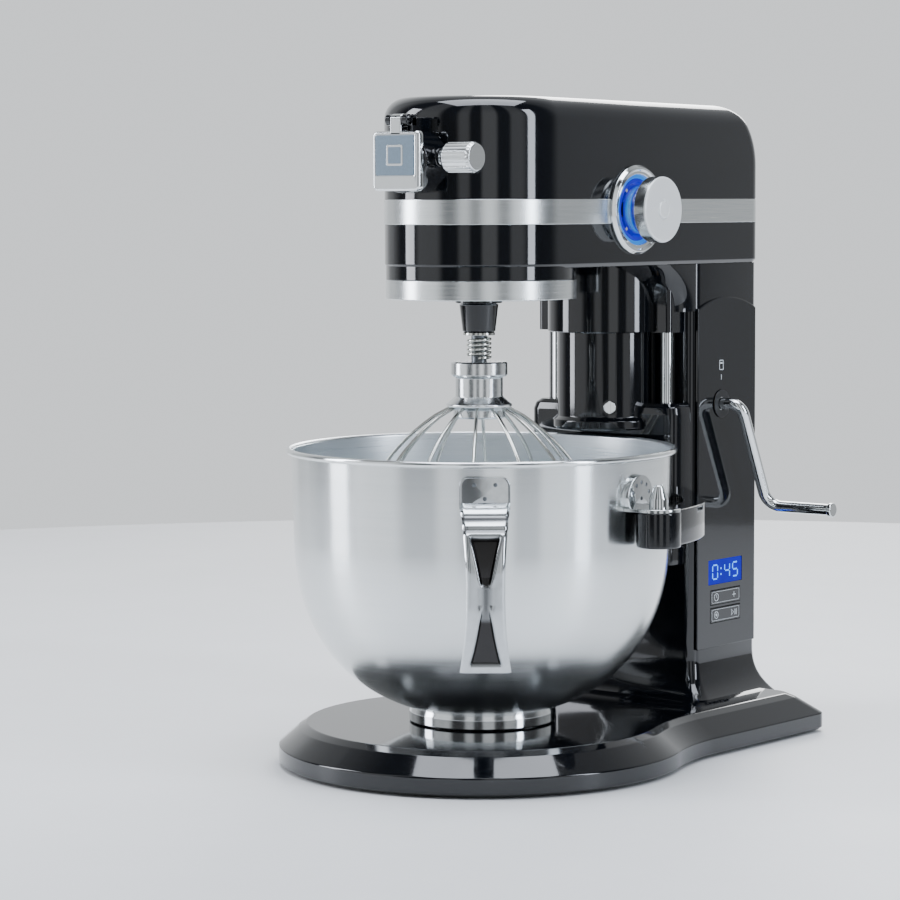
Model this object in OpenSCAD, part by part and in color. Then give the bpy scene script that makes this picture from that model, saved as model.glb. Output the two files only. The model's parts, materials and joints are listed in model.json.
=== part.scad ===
// Bowl-lift stand mixer, bowl lowered. +Z is up, the whisk end points along -Y, and the lever is on +X.
// The origin is on the counter, under the middle of the machine's bounding box. The pieces are laid out
// about the bowl's axis, from a plane base_drop above the counter, and piece() moves them to the origin.

/* [Bowl] */
// Outside diameter of the bowl over its rolled rim
bowl_rim_d = 255; // [250:1:258]
// Height of the rim above the layout plane with the bowl lowered
bowl_rim_z = 204; // [200:1:206]
// Thickness of the bowl's steel
bowl_wall = 1.3; // [1:0.1:2]
// Diameter of the foot ring under the bowl
bowl_foot_d = 96; // [90:1:100]
// Turn of the bowl's handle from the front towards the lever side
handle_turn = 38.5; // [20:0.5:50]
// Distance that the lever lifts the bowl
lift_travel = 43; // [40:1:43]

/* [Base and column] */
// Radius of the round front of the base
base_front_r = 133.5; // [130:0.5:138]
// Half width of the base at its waist
base_waist_hw = 116; // [110:1:118]
// Height of the top of the base above the layout plane
base_h = 24; // [22:1:24]
// Height of the layout plane above the counter
base_drop = 3.5; // [3:0.5:5]
// Half width of the column
column_hw = 61; // [60:0.5:61]
// Distance from the bowl's axis to the front of the column
column_front_y = 156.5; // [156.5:0.5:157]
// Distance from the bowl's axis to the back of the column
column_rear_y = 236; // [235:0.5:237]

/* [Head] */
// Half width of the head, which is also the radius of its round nose
head_hw = 62.5; // [62:0.5:64]
// Distance from the bowl's axis to the back of the head
head_rear_y = 241; // [240:0.5:242]
// Height of the head's underside
head_under_z = 320; // [318:0.5:322]
// Height of the lower edge of the steel band
band_z = 348; // [346:0.5:350]
// Height of the steel band
band_h = 16; // [14:0.5:18]
// Height of the head's crest
crest_z = 429.5; // [428:0.5:434]
// Fall of the head's top from front to back
crest_fall = 2; // [1:0.5:4]

/* [Whisk and planetary] */
// Distance of the whisk's axis from the bowl's axis
tool_offset = 24; // [24:24]
// Turn of the whisk's axis from the front towards the lever side
tool_turn = 34; // [0:2:60]
// Widest radius of the whisk
whisk_r = 71; // [66:1:74]
// Lowest point of the whisk
whisk_low_z = 79; // [79:1:84]
// Diameter of a whisk wire
wire_d = 2.3; // [2:0.1:2.6]
// Number of wire loops in the whisk
wire_loops = 6; // [5:1:7]

/* [Attachment hub] */
// Height of the hub's axis
hub_z = 388; // [388:388]
// Bore of the hub that an attachment's shank slides into
hub_bore_d = 27.5; // [26:0.1:28]
// Width of the hub's square cover
hub_cover_w = 37.4; // [37:0.2:38.6]

/* [Speed knob] */
// Distance of the knob's axis behind the bowl's axis
knob_y = 85; // [83:1:87]
// Height of the knob's axis
knob_z = 357; // [356:0.5:358]
// Outside diameter of the knob's bright ring
knob_ring_d = 58.6; // [56:0.2:60]
// Diameter of the knob's face
knob_d = 43; // [42:0.5:44]

/* [Lift lever] */
// Distance of the lever's pivot behind the bowl's axis
lever_y = 188; // [188:188]
// Height of the lever's pivot
lever_z = 224; // [224:224]
// Diameter of the lever's rod
lever_rod_d = 8; // [7:0.5:9]

/* [Hidden] */
$fn = 64;

frame_shift = (head_rear_y - base_front_r) / 2;
rim_r = bowl_rim_d / 2;
gap = 0.05;

black = "#0b0d12";
steel = "#c3c7ca";
chrome = "#e2e5e8";
alu = "#b4b9bd";
brass = "#b9975b";
rubber = "#1c1c1e";
dark_steel = "#6d7176";

// ---- shared shapes ----

// Points of an arc, from angle a0 to angle a1
function arc(cx, cy, r, a0, a1, n) =
    [for (i = [0:n]) let (a = a0 + (a1 - a0) * i / n) [cx + r * cos(a), cy + r * sin(a)]];

// A rounded rectangle that is symmetrical about x = 0
function plan(hw, y0, y1, rf, rr, n = 5) = concat(
    arc(hw - rf, y0 + rf, rf, -90, 0, n), arc(hw - rr, y1 - rr, rr, 0, 90, n),
    arc(rr - hw, y1 - rr, rr, 90, 180, n), arc(rf - hw, y0 + rf, rf, 180, 270, n));

function at_z(points, z) = [for (p = points) [p[0], p[1], z]];

// A solid through rings of equally many points, lowest ring first, each counter-clockwise from above
module loft(rings) {
    n = len(rings[0]);
    last = (len(rings) - 1) * n;
    polyhedron(points = [for (r = rings) each r], convexity = 8, faces = concat(
        [[for (i = [0:n - 1]) i]],
        [for (k = [0:n:last - n], i = [0:n - 1]) let (j = (i + 1) % n) [k + i, k + n + i, k + n + j, k + j]],
        [[for (i = [n - 1:-1:0]) last + i]]));
}

// A solid cylinder along +X or along +Y from the point p
module rod_x(p, r, h) translate(p) rotate([0, 90, 0]) cylinder(r = r, h = h);
module rod_y(p, r, h) translate(p) rotate([-90, 0, 0]) cylinder(r = r, h = h);
module tube(r, bore, z0, z1) translate([0, 0, z0]) difference() {
    cylinder(r = r, h = z1 - z0);
    translate([0, 0, -1]) cylinder(r = bore, h = z1 - z0 + 2);
}
module box(low, high) translate(low) cube(high - low);
module both_sides() {
    children();
    mirror([1, 0, 0]) children();
}

// Moves a piece from the bowl's axis to the machine's origin and gives it its colour
module piece(c) color(c) translate([0, -frame_shift, base_drop]) children();
module at_tool() rotate([0, 0, tool_turn - 90]) translate([tool_offset, 0, 0]) children();
module at_handle() rotate([0, 0, handle_turn - 90]) children();

// ---- gears ----

pressure = 20;
function inv_deg(a) = tan(a) * 180 / PI - a;
// Half of a tooth's angle at radius r, for z teeth of pitch radius rp, slack taken off its width
function half_tooth(z, rp, r, slack) = 90 / z + inv_deg(pressure)
    - inv_deg(acos(min(1, rp * cos(pressure) / r))) - slack * 90 / (rp * PI);
// Outline of an involute gear of module m with its first tooth on +X
function spur(z, m, add, ded, slack, k = 3) = let (
    rp = m * z / 2, top = rp + add, root = rp - ded, low = max(rp * cos(pressure), root))
    [for (i = [0:z - 1], s = [-1, 1], j = [0:k + 1]) let (
        q = s < 0 ? j : k + 1 - j,
        r = q == 0 ? min(root, low - 0.2) : low + (top - low) * (q - 1) / k,
        a = 360 * i / z + s * half_tooth(z, rp, max(r, low), slack)) [r * cos(a), r * sin(a)]];
// A gear from z = 0 to h, with a round hub of radius hub_r from hub[0] to hub[1], bored right through
module spur_gear(z, m, turn, bore, h, slack = 0.16, hub_r = 0, hub = [0, 0]) difference() {
    union() {
        rotate(turn) linear_extrude(h) polygon(spur(z, m, m, 1.25 * m, slack));
        if (hub_r > 0) translate([0, 0, hub[0]]) cylinder(r = hub_r, h = hub[1] - hub[0]);
    }
    translate([0, 0, min(0, hub[0]) - 1]) cylinder(r = bore, h = max(h, hub[1]) - min(0, hub[0]) + 2);
}

// Bevel gears share one apex. Along a gear's own axis z is the distance from the apex, growing away from it.
bevel_m = 1.5;
pinion_teeth = 12;
crown_teeth = 36;
pinion_r = bevel_m * pinion_teeth / 2;
crown_r = bevel_m * crown_teeth / 2;
bevel_toe = 19 / 27;
cone_len = norm([pinion_r, crown_r]);
// Ring of tooth corners on the back cone; own is the gear's pitch radius, other is its mate's
function bevel_ring(z, own, other, scale, turn) = let (
    c = own / cone_len, s = other / cone_len, pitch = 360 / z)
    [for (i = [0:z - 1], q = [0:3]) let (
        tip = q == 1 || q == 2, h = tip ? 1.3 : -1.8,
        a = turn + pitch * i + pitch * (tip ? 0.13 : 0.30) * (q < 2 ? -1 : 1),
        r = (own + h * s) * scale, d = (other - h * c) * scale) [r * cos(a), r * sin(a), d]];
module bevel_gear(z, own, other, turn, back, hub_r, bore) difference() {
    n = 4 * z;
    heel = bevel_ring(z, own, other, 1, turn);
    toe = bevel_ring(z, own, other, bevel_toe, turn);
    root_r = min([for (p = heel) norm([p[0], p[1]])]);
    toe_r = min([for (p = toe) norm([p[0], p[1]])]) - 0.6;
    toe_d = min([for (p = toe) p[2]]);
    angles = [for (p = heel) atan2(p[1], p[0])];
    loft([
        [for (a = angles) [toe_r * cos(a), toe_r * sin(a), toe_d - 0.4]],
        toe, heel,
        [for (a = angles) [(root_r - 0.4) * cos(a), (root_r - 0.4) * sin(a), back]]]);
    translate([0, 0, -1]) cylinder(r = bore, h = back + 2);
}

// ---- base ----

waist_y = 100;
waist_r = ((waist_y * waist_y) / (base_front_r - base_waist_hw) - base_front_r - base_waist_hw) / 2;
blend_a = atan2(waist_y, base_waist_hw + waist_r);
base_rear_y = column_rear_y + 2;
base_rear_hw = base_waist_hw + 4;
function base_half(d) = concat(
    arc(0, 0, base_front_r - d, -90, blend_a, 14),
    arc(base_waist_hw + waist_r, waist_y, waist_r + d, 180 + blend_a, 180, 5),
    arc(base_rear_hw - d - 12, base_rear_y - d - 12, 12, 0, 90, 5));
function base_plan(d) = let (h = base_half(d), n = len(h))
    concat(h, [for (i = [n - 1:-1:1]) [-h[i][0], h[i][1]]]);

foot_h = 2;
base_low_z = foot_h - base_drop;
plate_gauge = 1.6;
foot_r = 10;
foot_spots = [[0, -112], [98, -40], [-98, -40], [100, 205], [-100, 205]];
screw_spots = [[70, -80], [-70, -80], [100, 60], [-100, 60], [60, 120], [-60, 120]];
column_bolt_spots = [[45, 175], [-45, 175], [45, 222], [-45, 222]];
base_cavity_z = 17;
flare_top_z = 54;
flare_steps = 8;

module base_casting() piece(black) difference() {
    union() {
        loft([for (s = [[base_low_z, 1.2], [base_low_z + 1.6, 0], [8.8, 0], [10.8, 1],
                [20.8, 13], [22.8, 16], [base_h, 19.5]])
            at_z(base_plan(s[1]), s[0])]);
        loft([for (i = [0:flare_steps]) let (t = i / flare_steps, f = pow(1 - t, 3))
            at_z(plan(column_hw + 34 * f, column_front_y - 30 * f, column_rear_y, 8 + 10 * f, 6),
                14 + (flare_top_z - 14) * t)]);
    }
    translate([0, 0, base_low_z - 1]) linear_extrude(2.6) polygon(base_plan(7));
    translate([0, 0, base_low_z]) linear_extrude(base_cavity_z - base_low_z) difference() {
        polygon(base_plan(12));
        for (p = screw_spots) translate(p) circle(r = 6);
        for (p = column_bolt_spots) translate(p) circle(r = 9);
    }
    for (p = screw_spots) translate([p[0], p[1], base_low_z + 1]) cylinder(r = 2 + gap, h = 14);
    for (p = column_bolt_spots) translate([p[0], p[1], base_low_z]) {
        cylinder(r = 3 + gap, h = 60);
        cylinder(r = 6.5, h = 13.5);
    }
}

module base_plate() piece(dark_steel) translate([0, 0, base_low_z]) linear_extrude(plate_gauge) difference() {
    polygon(base_plan(7.3));
    for (p = foot_spots) translate(p) circle(r = 4 + gap);
    for (p = screw_spots) translate(p) circle(r = 2.2);
    for (p = column_bolt_spots) translate(p) circle(r = 7);
}

module rubber_feet() piece(rubber) for (p = foot_spots) translate([p[0], p[1], -base_drop]) {
    cylinder(r = foot_r, h = foot_h);
    cylinder(r = 4, h = 5);
    translate([0, 0, foot_h + plate_gauge]) cylinder(r = 6, h = 2);
}

module base_fasteners() piece(dark_steel) {
    for (p = screw_spots) translate([p[0], p[1], base_low_z - 1.4]) {
        cylinder(r = 4, h = 1.4);
        cylinder(r = 2, h = 13);
    }
    for (p = column_bolt_spots) translate([p[0], p[1], 7]) {
        cylinder(r = 5.5, h = 5, $fn = 6);
        cylinder(r = 3, h = 60);
    }
}

// ---- column ----

column_wall = 5;
drum_y = 141;
neck_r = 40.5;
neck_bore_r = 35.7;
neck_low_z = 274;
shoulder_z = 288;
rail_x = 45.5;
rail_y = 147;
rail_r = 4.5;
rail_low_z = 114;
rail_top_z = 300;
cover_t = 1.8;
cover_y0 = column_front_y + 3;
cover_y1 = column_rear_y - 4.5;
cover_z0 = flare_top_z + 2;
cover_apex_z = 297;
cover_arch_r = 85;
cover_mid_y = (cover_y0 + cover_y1) / 2;
key_y = 194;
key_w = 37;
key_h = 10;
timer_key_z = 90.5;
start_key_z = 78.2;
key_pivot_x = column_hw - 1.6;
key_play = 0.4;
key_bearings = [[start_key_z - key_h / 2 - 2.6, start_key_z - key_h / 2 - 0.35],
    [start_key_z + key_h / 2 + 0.35, timer_key_z - key_h / 2 - 0.35],
    [timer_key_z + key_h / 2 + 0.35, timer_key_z + key_h / 2 + 2.6]];
display_z = 108;

// Everything inside the drum that the carriage's nose slides up into
module drum_front(r, z0, z1) intersection() {
    translate([0, drum_y, z0]) cylinder(r = r, h = z1 - z0, $fn = 96);
    box([-60, 60, z0 - 1], [60, column_front_y - 0.2, z1 + 1]);
}

module column_casting() piece(black) difference() {
    union() {
        translate([0, 0, flare_top_z]) linear_extrude(head_under_z - flare_top_z) difference() {
            polygon(plan(column_hw, column_front_y, column_rear_y, 8, 6));
            polygon(plan(column_hw - column_wall, column_front_y + column_wall,
                column_rear_y - column_wall, 4, 4));
        }
        translate([0, 0, flare_top_z]) linear_extrude(10)
            polygon(plan(column_hw - 1, column_front_y + 1, column_rear_y - 1, 7, 5));
        loft([for (i = [0:6]) let (t = i / 6)
            at_z(plan(column_hw, 136.5 - 28 * pow(t, 2.4), column_front_y + 4, 20, 2),
                shoulder_z + (head_under_z - shoulder_z) * t)]);
        translate([0, drum_y, neck_low_z]) intersection() {
            cylinder(r = neck_r, h = head_under_z - neck_low_z, $fn = 96);
            box([-60, -60, -1], [60, column_front_y + 4 - drum_y, 60]);
        }
        both_sides() box([rail_x - 9, rail_y - 8, rail_low_z + 2],
            [rail_x + 9, column_front_y + 1, rail_low_z + 15]);
    }
    drum_front(neck_bore_r, neck_low_z - 1, head_under_z + 1);
    both_sides() translate([rail_x, rail_y, rail_low_z])
        cylinder(r = rail_r + gap, h = rail_top_z - rail_low_z);
    box([-14, column_front_y - 3, 186], [14, column_front_y + column_wall + 1, 300]);
    rod_x([column_hw - 12, lever_y, lever_z], 9 + gap, 20);
    box([column_hw - 6, key_y - 27, 66], [column_hw + 1, key_y + 27, 121]);
    rod_y([0, column_rear_y - 8, 80], 7 + gap, 10);
    for (p = column_bolt_spots) translate([p[0], p[1], flare_top_z - 1]) cylinder(r = 3 + gap, h = 15);
    translate([0, 0, flare_top_z - 1]) linear_extrude(14) polygon(plan(30, 176, 222, 4, 4));
}

// Outline of a side cover, drawn with Y to the right and Z up
module cover_outline() {
    translate([cover_y0, cover_z0]) square([cover_y1 - cover_y0, cover_apex_z - 40 - cover_z0]);
    intersection() {
        translate([cover_y0, cover_apex_z - 41]) square([cover_y1 - cover_y0, 60]);
        translate([cover_mid_y, cover_apex_z - cover_arch_r]) circle(r = cover_arch_r, $fn = 128);
    }
}
module on_side(x, t) translate([x, 0, 0]) rotate([90, 0, 90]) linear_extrude(t) children();

module control_panel() piece(black) difference() {
    union() {
        on_side(column_hw, cover_t) difference() {
            cover_outline();
            translate([lever_y, lever_z]) circle(r = 9.2);
            for (z = [timer_key_z, start_key_z])
                translate([key_y - key_w / 2 - key_play, z - key_h / 2 - key_play])
                    square([key_w + 2 * key_play, key_h + 2 * key_play]);
            translate([key_y - 21, display_z - 8.5]) square([42, 17]);
        }
        for (z = key_bearings)
            box([column_hw - 4, key_y - 3, z[0]], [column_hw + 0.4, key_y + 3, z[1]]);
    }
    translate([key_pivot_x, key_y, 69]) cylinder(r = 1 + gap, h = 30);
}

module rocker_key(z) {
    difference() {
        box([column_hw - 0.4, key_y - key_w / 2, z - key_h / 2],
            [column_hw + cover_t + 0.3, key_y + key_w / 2, z + key_h / 2]);
        box([column_hw - 1, key_y - 12, z - 3], [column_hw + 0.6, key_y - 3, z + 3]);
        box([column_hw - 1, key_y + 3, z - 3], [column_hw + 0.6, key_y + 12, z + 3]);
    }
    box([key_pivot_x - 1.4, key_y - 1.5, z - key_h / 2 + 0.3],
        [column_hw + 0.5, key_y + 1.5, z + key_h / 2 - 0.3]);
    translate([key_pivot_x, key_y, z - key_h / 2 - 1.1]) cylinder(r = 1, h = key_h + 2.2);
}
module timer_key() piece("#15171c") rocker_key(timer_key_z);
module start_key() piece("#15171c") rocker_key(start_key_z);

module left_side_cover() piece(black) mirror([1, 0, 0]) on_side(column_hw, cover_t) cover_outline();

module display_module() piece("#1420c8") {
    box([column_hw - 3, key_y - 20.8, display_z - 8.3],
        [column_hw + cover_t - 0.2, key_y + 20.8, display_z + 8.3]);
    box([column_hw - 7, key_y - 23, display_z - 9], [column_hw - 3, key_y + 23, display_z + 11]);
}

module control_board() piece("#1d5a38") {
    box([column_hw - 10, key_y - 25, 68], [column_hw - 8.4, key_y + 25, 119.5]);
    for (z = [timer_key_z, start_key_z], s = [-1, 1])
        box([column_hw - 8.4, key_y + s * 14 - 3, z - 3], [column_hw - 2.2, key_y + s * 14 + 3, z + 3]);
}

module cord_gland() piece(rubber) difference() {
    union() {
        rod_y([0, column_rear_y - 7, 80], 7, 8);
        rod_y([0, column_rear_y, 80], 10, head_rear_y - column_rear_y);
    }
    rod_y([0, column_rear_y - 8, 80], 3.5, 20);
}

module guide_rails() piece(chrome) both_sides()
    translate([rail_x, rail_y, rail_low_z + 1]) cylinder(r = rail_r, h = rail_top_z - rail_low_z - 2);

module lever_bush() piece(brass) difference() {
    rod_x([column_hw - 10, lever_y, lever_z], 9, 12.3);
    rod_x([column_hw - 11, lever_y, lever_z], 6 + gap, 20);
}

// ---- head ----

head_corner_r = 14;
head_wall = 3.5;
edge_r = 14;
rear_edge_r = 42;
band_top_z = band_z + band_h;
collar_r = 61.8;
collar_z = 312.5;
planetary_r = 57.6;
planetary_top_z = 342;
function head_plan(d, rear) = let (r = head_corner_r - d / 2) concat(
    arc(0, 0, head_hw - d, 180, 360, 20),
    arc(head_hw - d - r, rear - r, r, 0, 90, 5), arc(r - head_hw + d, rear - r, r, 90, 180, 5));
function round_in(z, top, r) = z < top - r ? 0 : r - sqrt(max(0, r * r - pow(z - top + r, 2)));
// The head's top form, shrunk by w all round, from the height z0 up
module head_form(w, z0) {
    top = crest_z - w;
    levels = concat([z0], [for (a = [0:7.5:90]) top - rear_edge_r * (1 - sin(a))]);
    loft([for (z = levels) let (d = w + round_in(z, top, edge_r - w))
        [for (p = head_plan(d, head_rear_y - w - round_in(z, top, rear_edge_r)))
            [p[0], p[1], z - crest_fall * (p[1] + head_hw) / (head_rear_y + head_hw)
                * (z - band_top_z) / (crest_z - band_top_z)]]]);
}
module knob_hole() rod_x([head_hw - 14, knob_y, knob_z], 25 + gap, 30);
module hub_hole() rod_y([0, -head_hw - 10, hub_z], hub_r + gap, 30);

module head_casting() piece(black) difference() {
    union() {
        loft([for (s = [[head_under_z, 3], [head_under_z + 1, 1], [head_under_z + 3.5, 0], [band_z, 0]])
            at_z(head_plan(s[1], head_rear_y - s[1]), s[0])]);
        translate([0, 0, collar_z]) cylinder(r = collar_r, h = head_under_z - collar_z + 4, $fn = 128);
        translate([0, 0, planetary_top_z]) cylinder(r = 16, h = 20);
    }
    intersection() {
        translate([0, 0, head_under_z + 6]) linear_extrude(40) polygon(head_plan(4, head_rear_y - 4));
        box([-70, 64, head_under_z], [70, 260, band_z + 10]);
    }
    translate([0, 0, collar_z - 1]) cylinder(r = planetary_r, h = planetary_top_z - collar_z + 1);
    translate([0, 0, planetary_top_z - 2]) cylinder(r = 11 + gap, h = 40);
    drum_front(neck_bore_r, head_under_z - 1, head_under_z + 4.5);
    translate([0, 205, head_under_z - 1]) cylinder(r = 15, h = 20);
    knob_hole();
}

module head_top_cover() piece(black) difference() {
    head_form(0, band_top_z);
    head_form(head_wall, band_top_z - 1);
    knob_hole();
    hub_hole();
}

module upper_trim_band() piece(steel) difference() {
    translate([0, 0, band_z]) linear_extrude(band_h) difference() {
        polygon(head_plan(-0.2, head_rear_y));
        polygon(head_plan(2.5, head_rear_y - 2.5));
    }
    knob_hole();
}

module lower_trim_ring() piece(steel) tube(collar_r, 58.6, 300, collar_z, $fn = 128);

ring_teeth = 52;
planet_teeth = 20;
planetary_m = 1.5;
planet_z0 = 331;
planet_z1 = 341;
module ring_gear() piece(dark_steel) translate([0, 0, planet_z0]) linear_extrude(planet_z1 - planet_z0 + 0.8)
    difference() {
        circle(r = planetary_r - gap);
        rotate(tool_turn - 90) polygon(spur(ring_teeth, planetary_m, 1.3 * planetary_m, planetary_m, -0.16));
    }

carrier_shaft_r = 7;
module carrier_bearing() piece(brass) tube(11, carrier_shaft_r + gap, planetary_top_z, planetary_top_z + 20);

// ---- drive train in the head ----

frame_hw = 42;
front_plate_y = 60;
rear_plate_y = 98;
plate_t = 5;
drive_shaft_r = 5;
motor_a = 216;
wheel_teeth = 42;
motor_pinion_teeth = 12;
motor_dist = (wheel_teeth + motor_pinion_teeth) / 2;
motor_x = motor_dist * cos(motor_a);
motor_z = hub_z + motor_dist * sin(motor_a);
motor_r = 32;
motor_shaft_r = 3;
motor_front_y = 108;
motor_rear_y = 190;

module gear_frame() piece(alu) difference() {
    union() {
        for (y = [front_plate_y, rear_plate_y])
            box([-frame_hw, y, head_under_z + 6], [frame_hw - 6, y + plate_t, 414]);
        box([-frame_hw, front_plate_y + 4.5, head_under_z + 6],
            [frame_hw - 6, rear_plate_y + 4, head_under_z + 10]);
        box([-frame_hw, front_plate_y, 396], [-frame_hw + 4, rear_plate_y + 4, 414]);
    }
    rod_y([0, front_plate_y - 1, hub_z], drive_shaft_r + gap, 60);
    rod_y([motor_x, front_plate_y - 1, motor_z], motor_shaft_r + gap, 60);
    box([-70, front_plate_y - 1, head_under_z + 5], [70, 64.5, band_z + 0.5]);
}

module motor_can() piece(dark_steel) difference() {
    union() {
        rod_y([motor_x, rear_plate_y + plate_t, motor_z], 14, motor_front_y - rear_plate_y - plate_t);
        rod_y([motor_x, motor_front_y, motor_z], motor_r, motor_rear_y - motor_front_y);
    }
    rod_y([motor_x, motor_front_y + 4, motor_z], 22, motor_rear_y - motor_front_y - 8);
    rod_y([motor_x, rear_plate_y, motor_z], motor_shaft_r + gap, 120);
}

module motor_armature() piece(brass) {
    rod_y([motor_x, front_plate_y + 1, motor_z], motor_shaft_r, 142);
    rod_y([motor_x, motor_front_y + 12, motor_z], 21.2, 48);
    rod_y([motor_x, motor_front_y + 62, motor_z], 11, 11);
    translate([motor_x, 82, motor_z]) rotate([90, 0, 0])
        spur_gear(motor_pinion_teeth, 1, motor_a + 180 + 15, motor_shaft_r - 0.5, 12);
}

fan_blades = 11;
module cooling_fan() piece(black) translate([motor_x, motor_rear_y + 3, motor_z]) rotate([-90, 0, 0]) {
    tube(8, motor_shaft_r, 0, 8);
    tube(29, motor_shaft_r, 0, 1.6);
    for (i = [0:fan_blades - 1]) rotate(360 * i / fan_blades)
        translate([7.5, -0.6, 1]) cube([20.5, 1.2, 7]);
}

// A bevel gear's own axis turned so that it points along the given direction from the apex
module from_apex(turn) translate([0, 0, hub_z]) rotate(turn) children();

module drive_shaft() piece(dark_steel) {
    from_apex([-90, 0, 0]) {
        bevel_gear(pinion_teeth, pinion_r, crown_r, 15, 30, pinion_r, 3);
        translate([0, 0, 15]) cylinder(r = 3.5, h = 18);
        translate([0, 0, 29]) cylinder(r = drive_shaft_r, h = rear_plate_y + plate_t - 29);
    }
}

module reduction_wheel() piece(brass) translate([0, 81, hub_z]) rotate([90, 0, 0])
    spur_gear(wheel_teeth, 1, motor_a, drive_shaft_r, 10, hub_r = 10, hub = [-6, 15]);

module crown_wheel() piece(dark_steel) from_apex([180, 0, 0])
    bevel_gear(crown_teeth, crown_r, pinion_r, 0, 22, 12, carrier_shaft_r);

// ---- planetary ----

drum_r = 56;
drum_low_z = 301;
tool_bush_r = 9;
tool_shaft_r = 6;
module carrier_drum() piece(black) difference() {
    union() {
        translate([0, 0, drum_low_z]) cylinder(r = drum_r, h = 6);
        tube(drum_r, drum_r - 3, drum_low_z + 5, 328);
        translate([0, 0, drum_low_z + 1]) cylinder(r = 13, h = 328 - drum_low_z);
        at_tool() translate([0, 0, drum_low_z + 1]) cylinder(r = 13, h = 327 - drum_low_z);
        rotate(tool_turn - 90) box([-drum_r + 2, -4, drum_low_z + 5], [-8, 4, 322]);
    }
    translate([0, 0, drum_low_z + 4]) cylinder(r = carrier_shaft_r, h = 60);
    at_tool() translate([0, 0, drum_low_z - 1]) cylinder(r = tool_bush_r, h = 60);
}

module carrier_shaft() piece(steel) translate([0, 0, drum_low_z + 4])
    cylinder(r = carrier_shaft_r, h = 378 - drum_low_z - 4);

module tool_bushes() piece(brass) at_tool() {
    tube(tool_bush_r, tool_shaft_r + gap, drum_low_z + 1.5, drum_low_z + 11);
    tube(tool_bush_r, tool_shaft_r + gap, 317, 328);
}

module tool_shaft() piece(steel) at_tool() {
    translate([0, 0, 232]) cylinder(r = 5, h = 60);
    translate([0, 0, 286]) cylinder(r = tool_shaft_r, h = 55.7);
}

module planet_pinion() piece(dark_steel) at_tool() translate([0, 0, planet_z0])
    spur_gear(planet_teeth, planetary_m, 0, tool_shaft_r, planet_z1 - planet_z0, hub_r = 8.4, hub = [-2.4, 1]);

module tool_socket() piece(black) at_tool() rotate_extrude()
    polygon([[tool_shaft_r, 300], [15, 300], [15, 298], [12.6, 297], [10.6, 280], [9.6, 279], [5, 279],
        [5, 285], [tool_shaft_r, 286]]);

spring_turns = 4;
spring_z = 262;
spring_pitch = 4.1;
module tool_spring() piece(chrome) at_tool() {
    for (i = [0:spring_turns - 1]) translate([0, 0, spring_z + 2 + spring_pitch * i])
        rotate_extrude() translate([6.9, 0]) circle(r = 1.25, $fn = 24);
    tube(10.3, 5, 277.2, 279);
    tube(6, 5, spring_z - 1.6, 277.5);
}

collar_top_z = 260.4;
module whisk_collar() piece(alu) at_tool() rotate_extrude() polygon([[5, 224], [16, 224], [16.6, 225],
    [16.6, 230], [21, 231.5], [21.2, 233], [17, 236.5], [15.3, 238], [15.3, 250], [17.2, 251], [18.3, 252],
    [18.3, 259.4], [17.3, collar_top_z], [5, collar_top_z]]);

// Radius of the whisk at the share s of the way down from its collar
wire_top_z = 231;
wire_top_r = 18;
wide_share = 0.45;
function whisk_radius(s) = s < wide_share
    ? wire_top_r + (whisk_r - wire_top_r) * pow(sin(90 * s / wide_share), 0.8)
    : whisk_r * pow(max(0, 1 - pow((s - wide_share) / (1 - wide_share), 1.8)), 0.58);
wire_steps = 13;
function whisk_share(i) = let (t = i / wire_steps) 1 - pow(1 - t, 1.8) * (1 - 0.25 * t);
module whisk_wires() piece(chrome) at_tool() for (k = [0:wire_loops - 1]) rotate(180 * k / wire_loops) {
    drop = wire_top_z - whisk_low_z - wire_d / 2 - 1.1 * k;
    path = [for (i = [-wire_steps:wire_steps]) let (s = whisk_share(wire_steps - abs(i)),
        u = whisk_share(wire_steps - abs(i))) [sign(i) * whisk_radius(s), 0, wire_top_z - drop * u]];
    swept(path, wire_d / 2);
}
// A wire of radius r along a path in the XZ plane
module swept(path, r, n = 6) {
    m = len(path) - 1;
    loft([for (i = [0:m]) let (d = path[min(m, i + 1)] - path[max(0, i - 1)], t = d / norm(d))
        [for (k = [0:n - 1]) let (a = -360 * k / n)
            path[i] + r * cos(a) * [-t[2], 0, t[0]] + [0, r * sin(a), 0]]]);
}

// ---- attachment hub ----

hub_front_y = -82;
hub_r = 20;
cover_half = hub_cover_w / 2;
hub_rear_y = -46;
cover_front_y = hub_front_y - 0.6;
cover_y = cover_front_y - 4.9;
hinge_y = hub_front_y - 2;
hinge_z = hub_z + cover_half + 7;
clamp_y = -70;
inset_depth = 1.4;
hub_bore_l = 20;
hub_relief_r = 13;
module hub_housing() piece(black) difference() {
    union() {
        rod_y([0, hub_front_y, hub_z], hub_r, hub_rear_y - hub_front_y);
        box([-8, hub_front_y + 1, hub_z + 12], [8, -head_hw - 0.1, hinge_z - 4]);
        for (x = [-8.5, 4.5]) {
            box([x, hub_front_y + 0.5, hinge_z - 10], [x + 4, -head_hw - 0.1, hinge_z + 1.5]);
            rod_x([x, hinge_y, hinge_z], 3.6, 4);
            box([x, hinge_y, hinge_z - 3.6], [x + 4, hinge_y + 8, hinge_z + 3.6]);
        }
        rod_x([14, clamp_y, hub_z + 2], 6, 9);
    }
    rod_y([0, hub_front_y - 1, hub_z], hub_bore_d / 2, hub_bore_l + 1);
    rod_y([0, hub_front_y + 15, hub_z], hub_relief_r, 40);
    rod_x([-10, hinge_y, hinge_z], 1.5 + gap, 20);
    rod_x([10, clamp_y, hub_z + 2], 2.5 + gap, 20);
}

module hub_bush() piece(brass) difference() {
    rod_y([0, hub_rear_y - 6, hub_z], hub_relief_r - gap, 6);
    rod_y([0, hub_rear_y - 7, hub_z], 5 + gap, 20);
}

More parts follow.
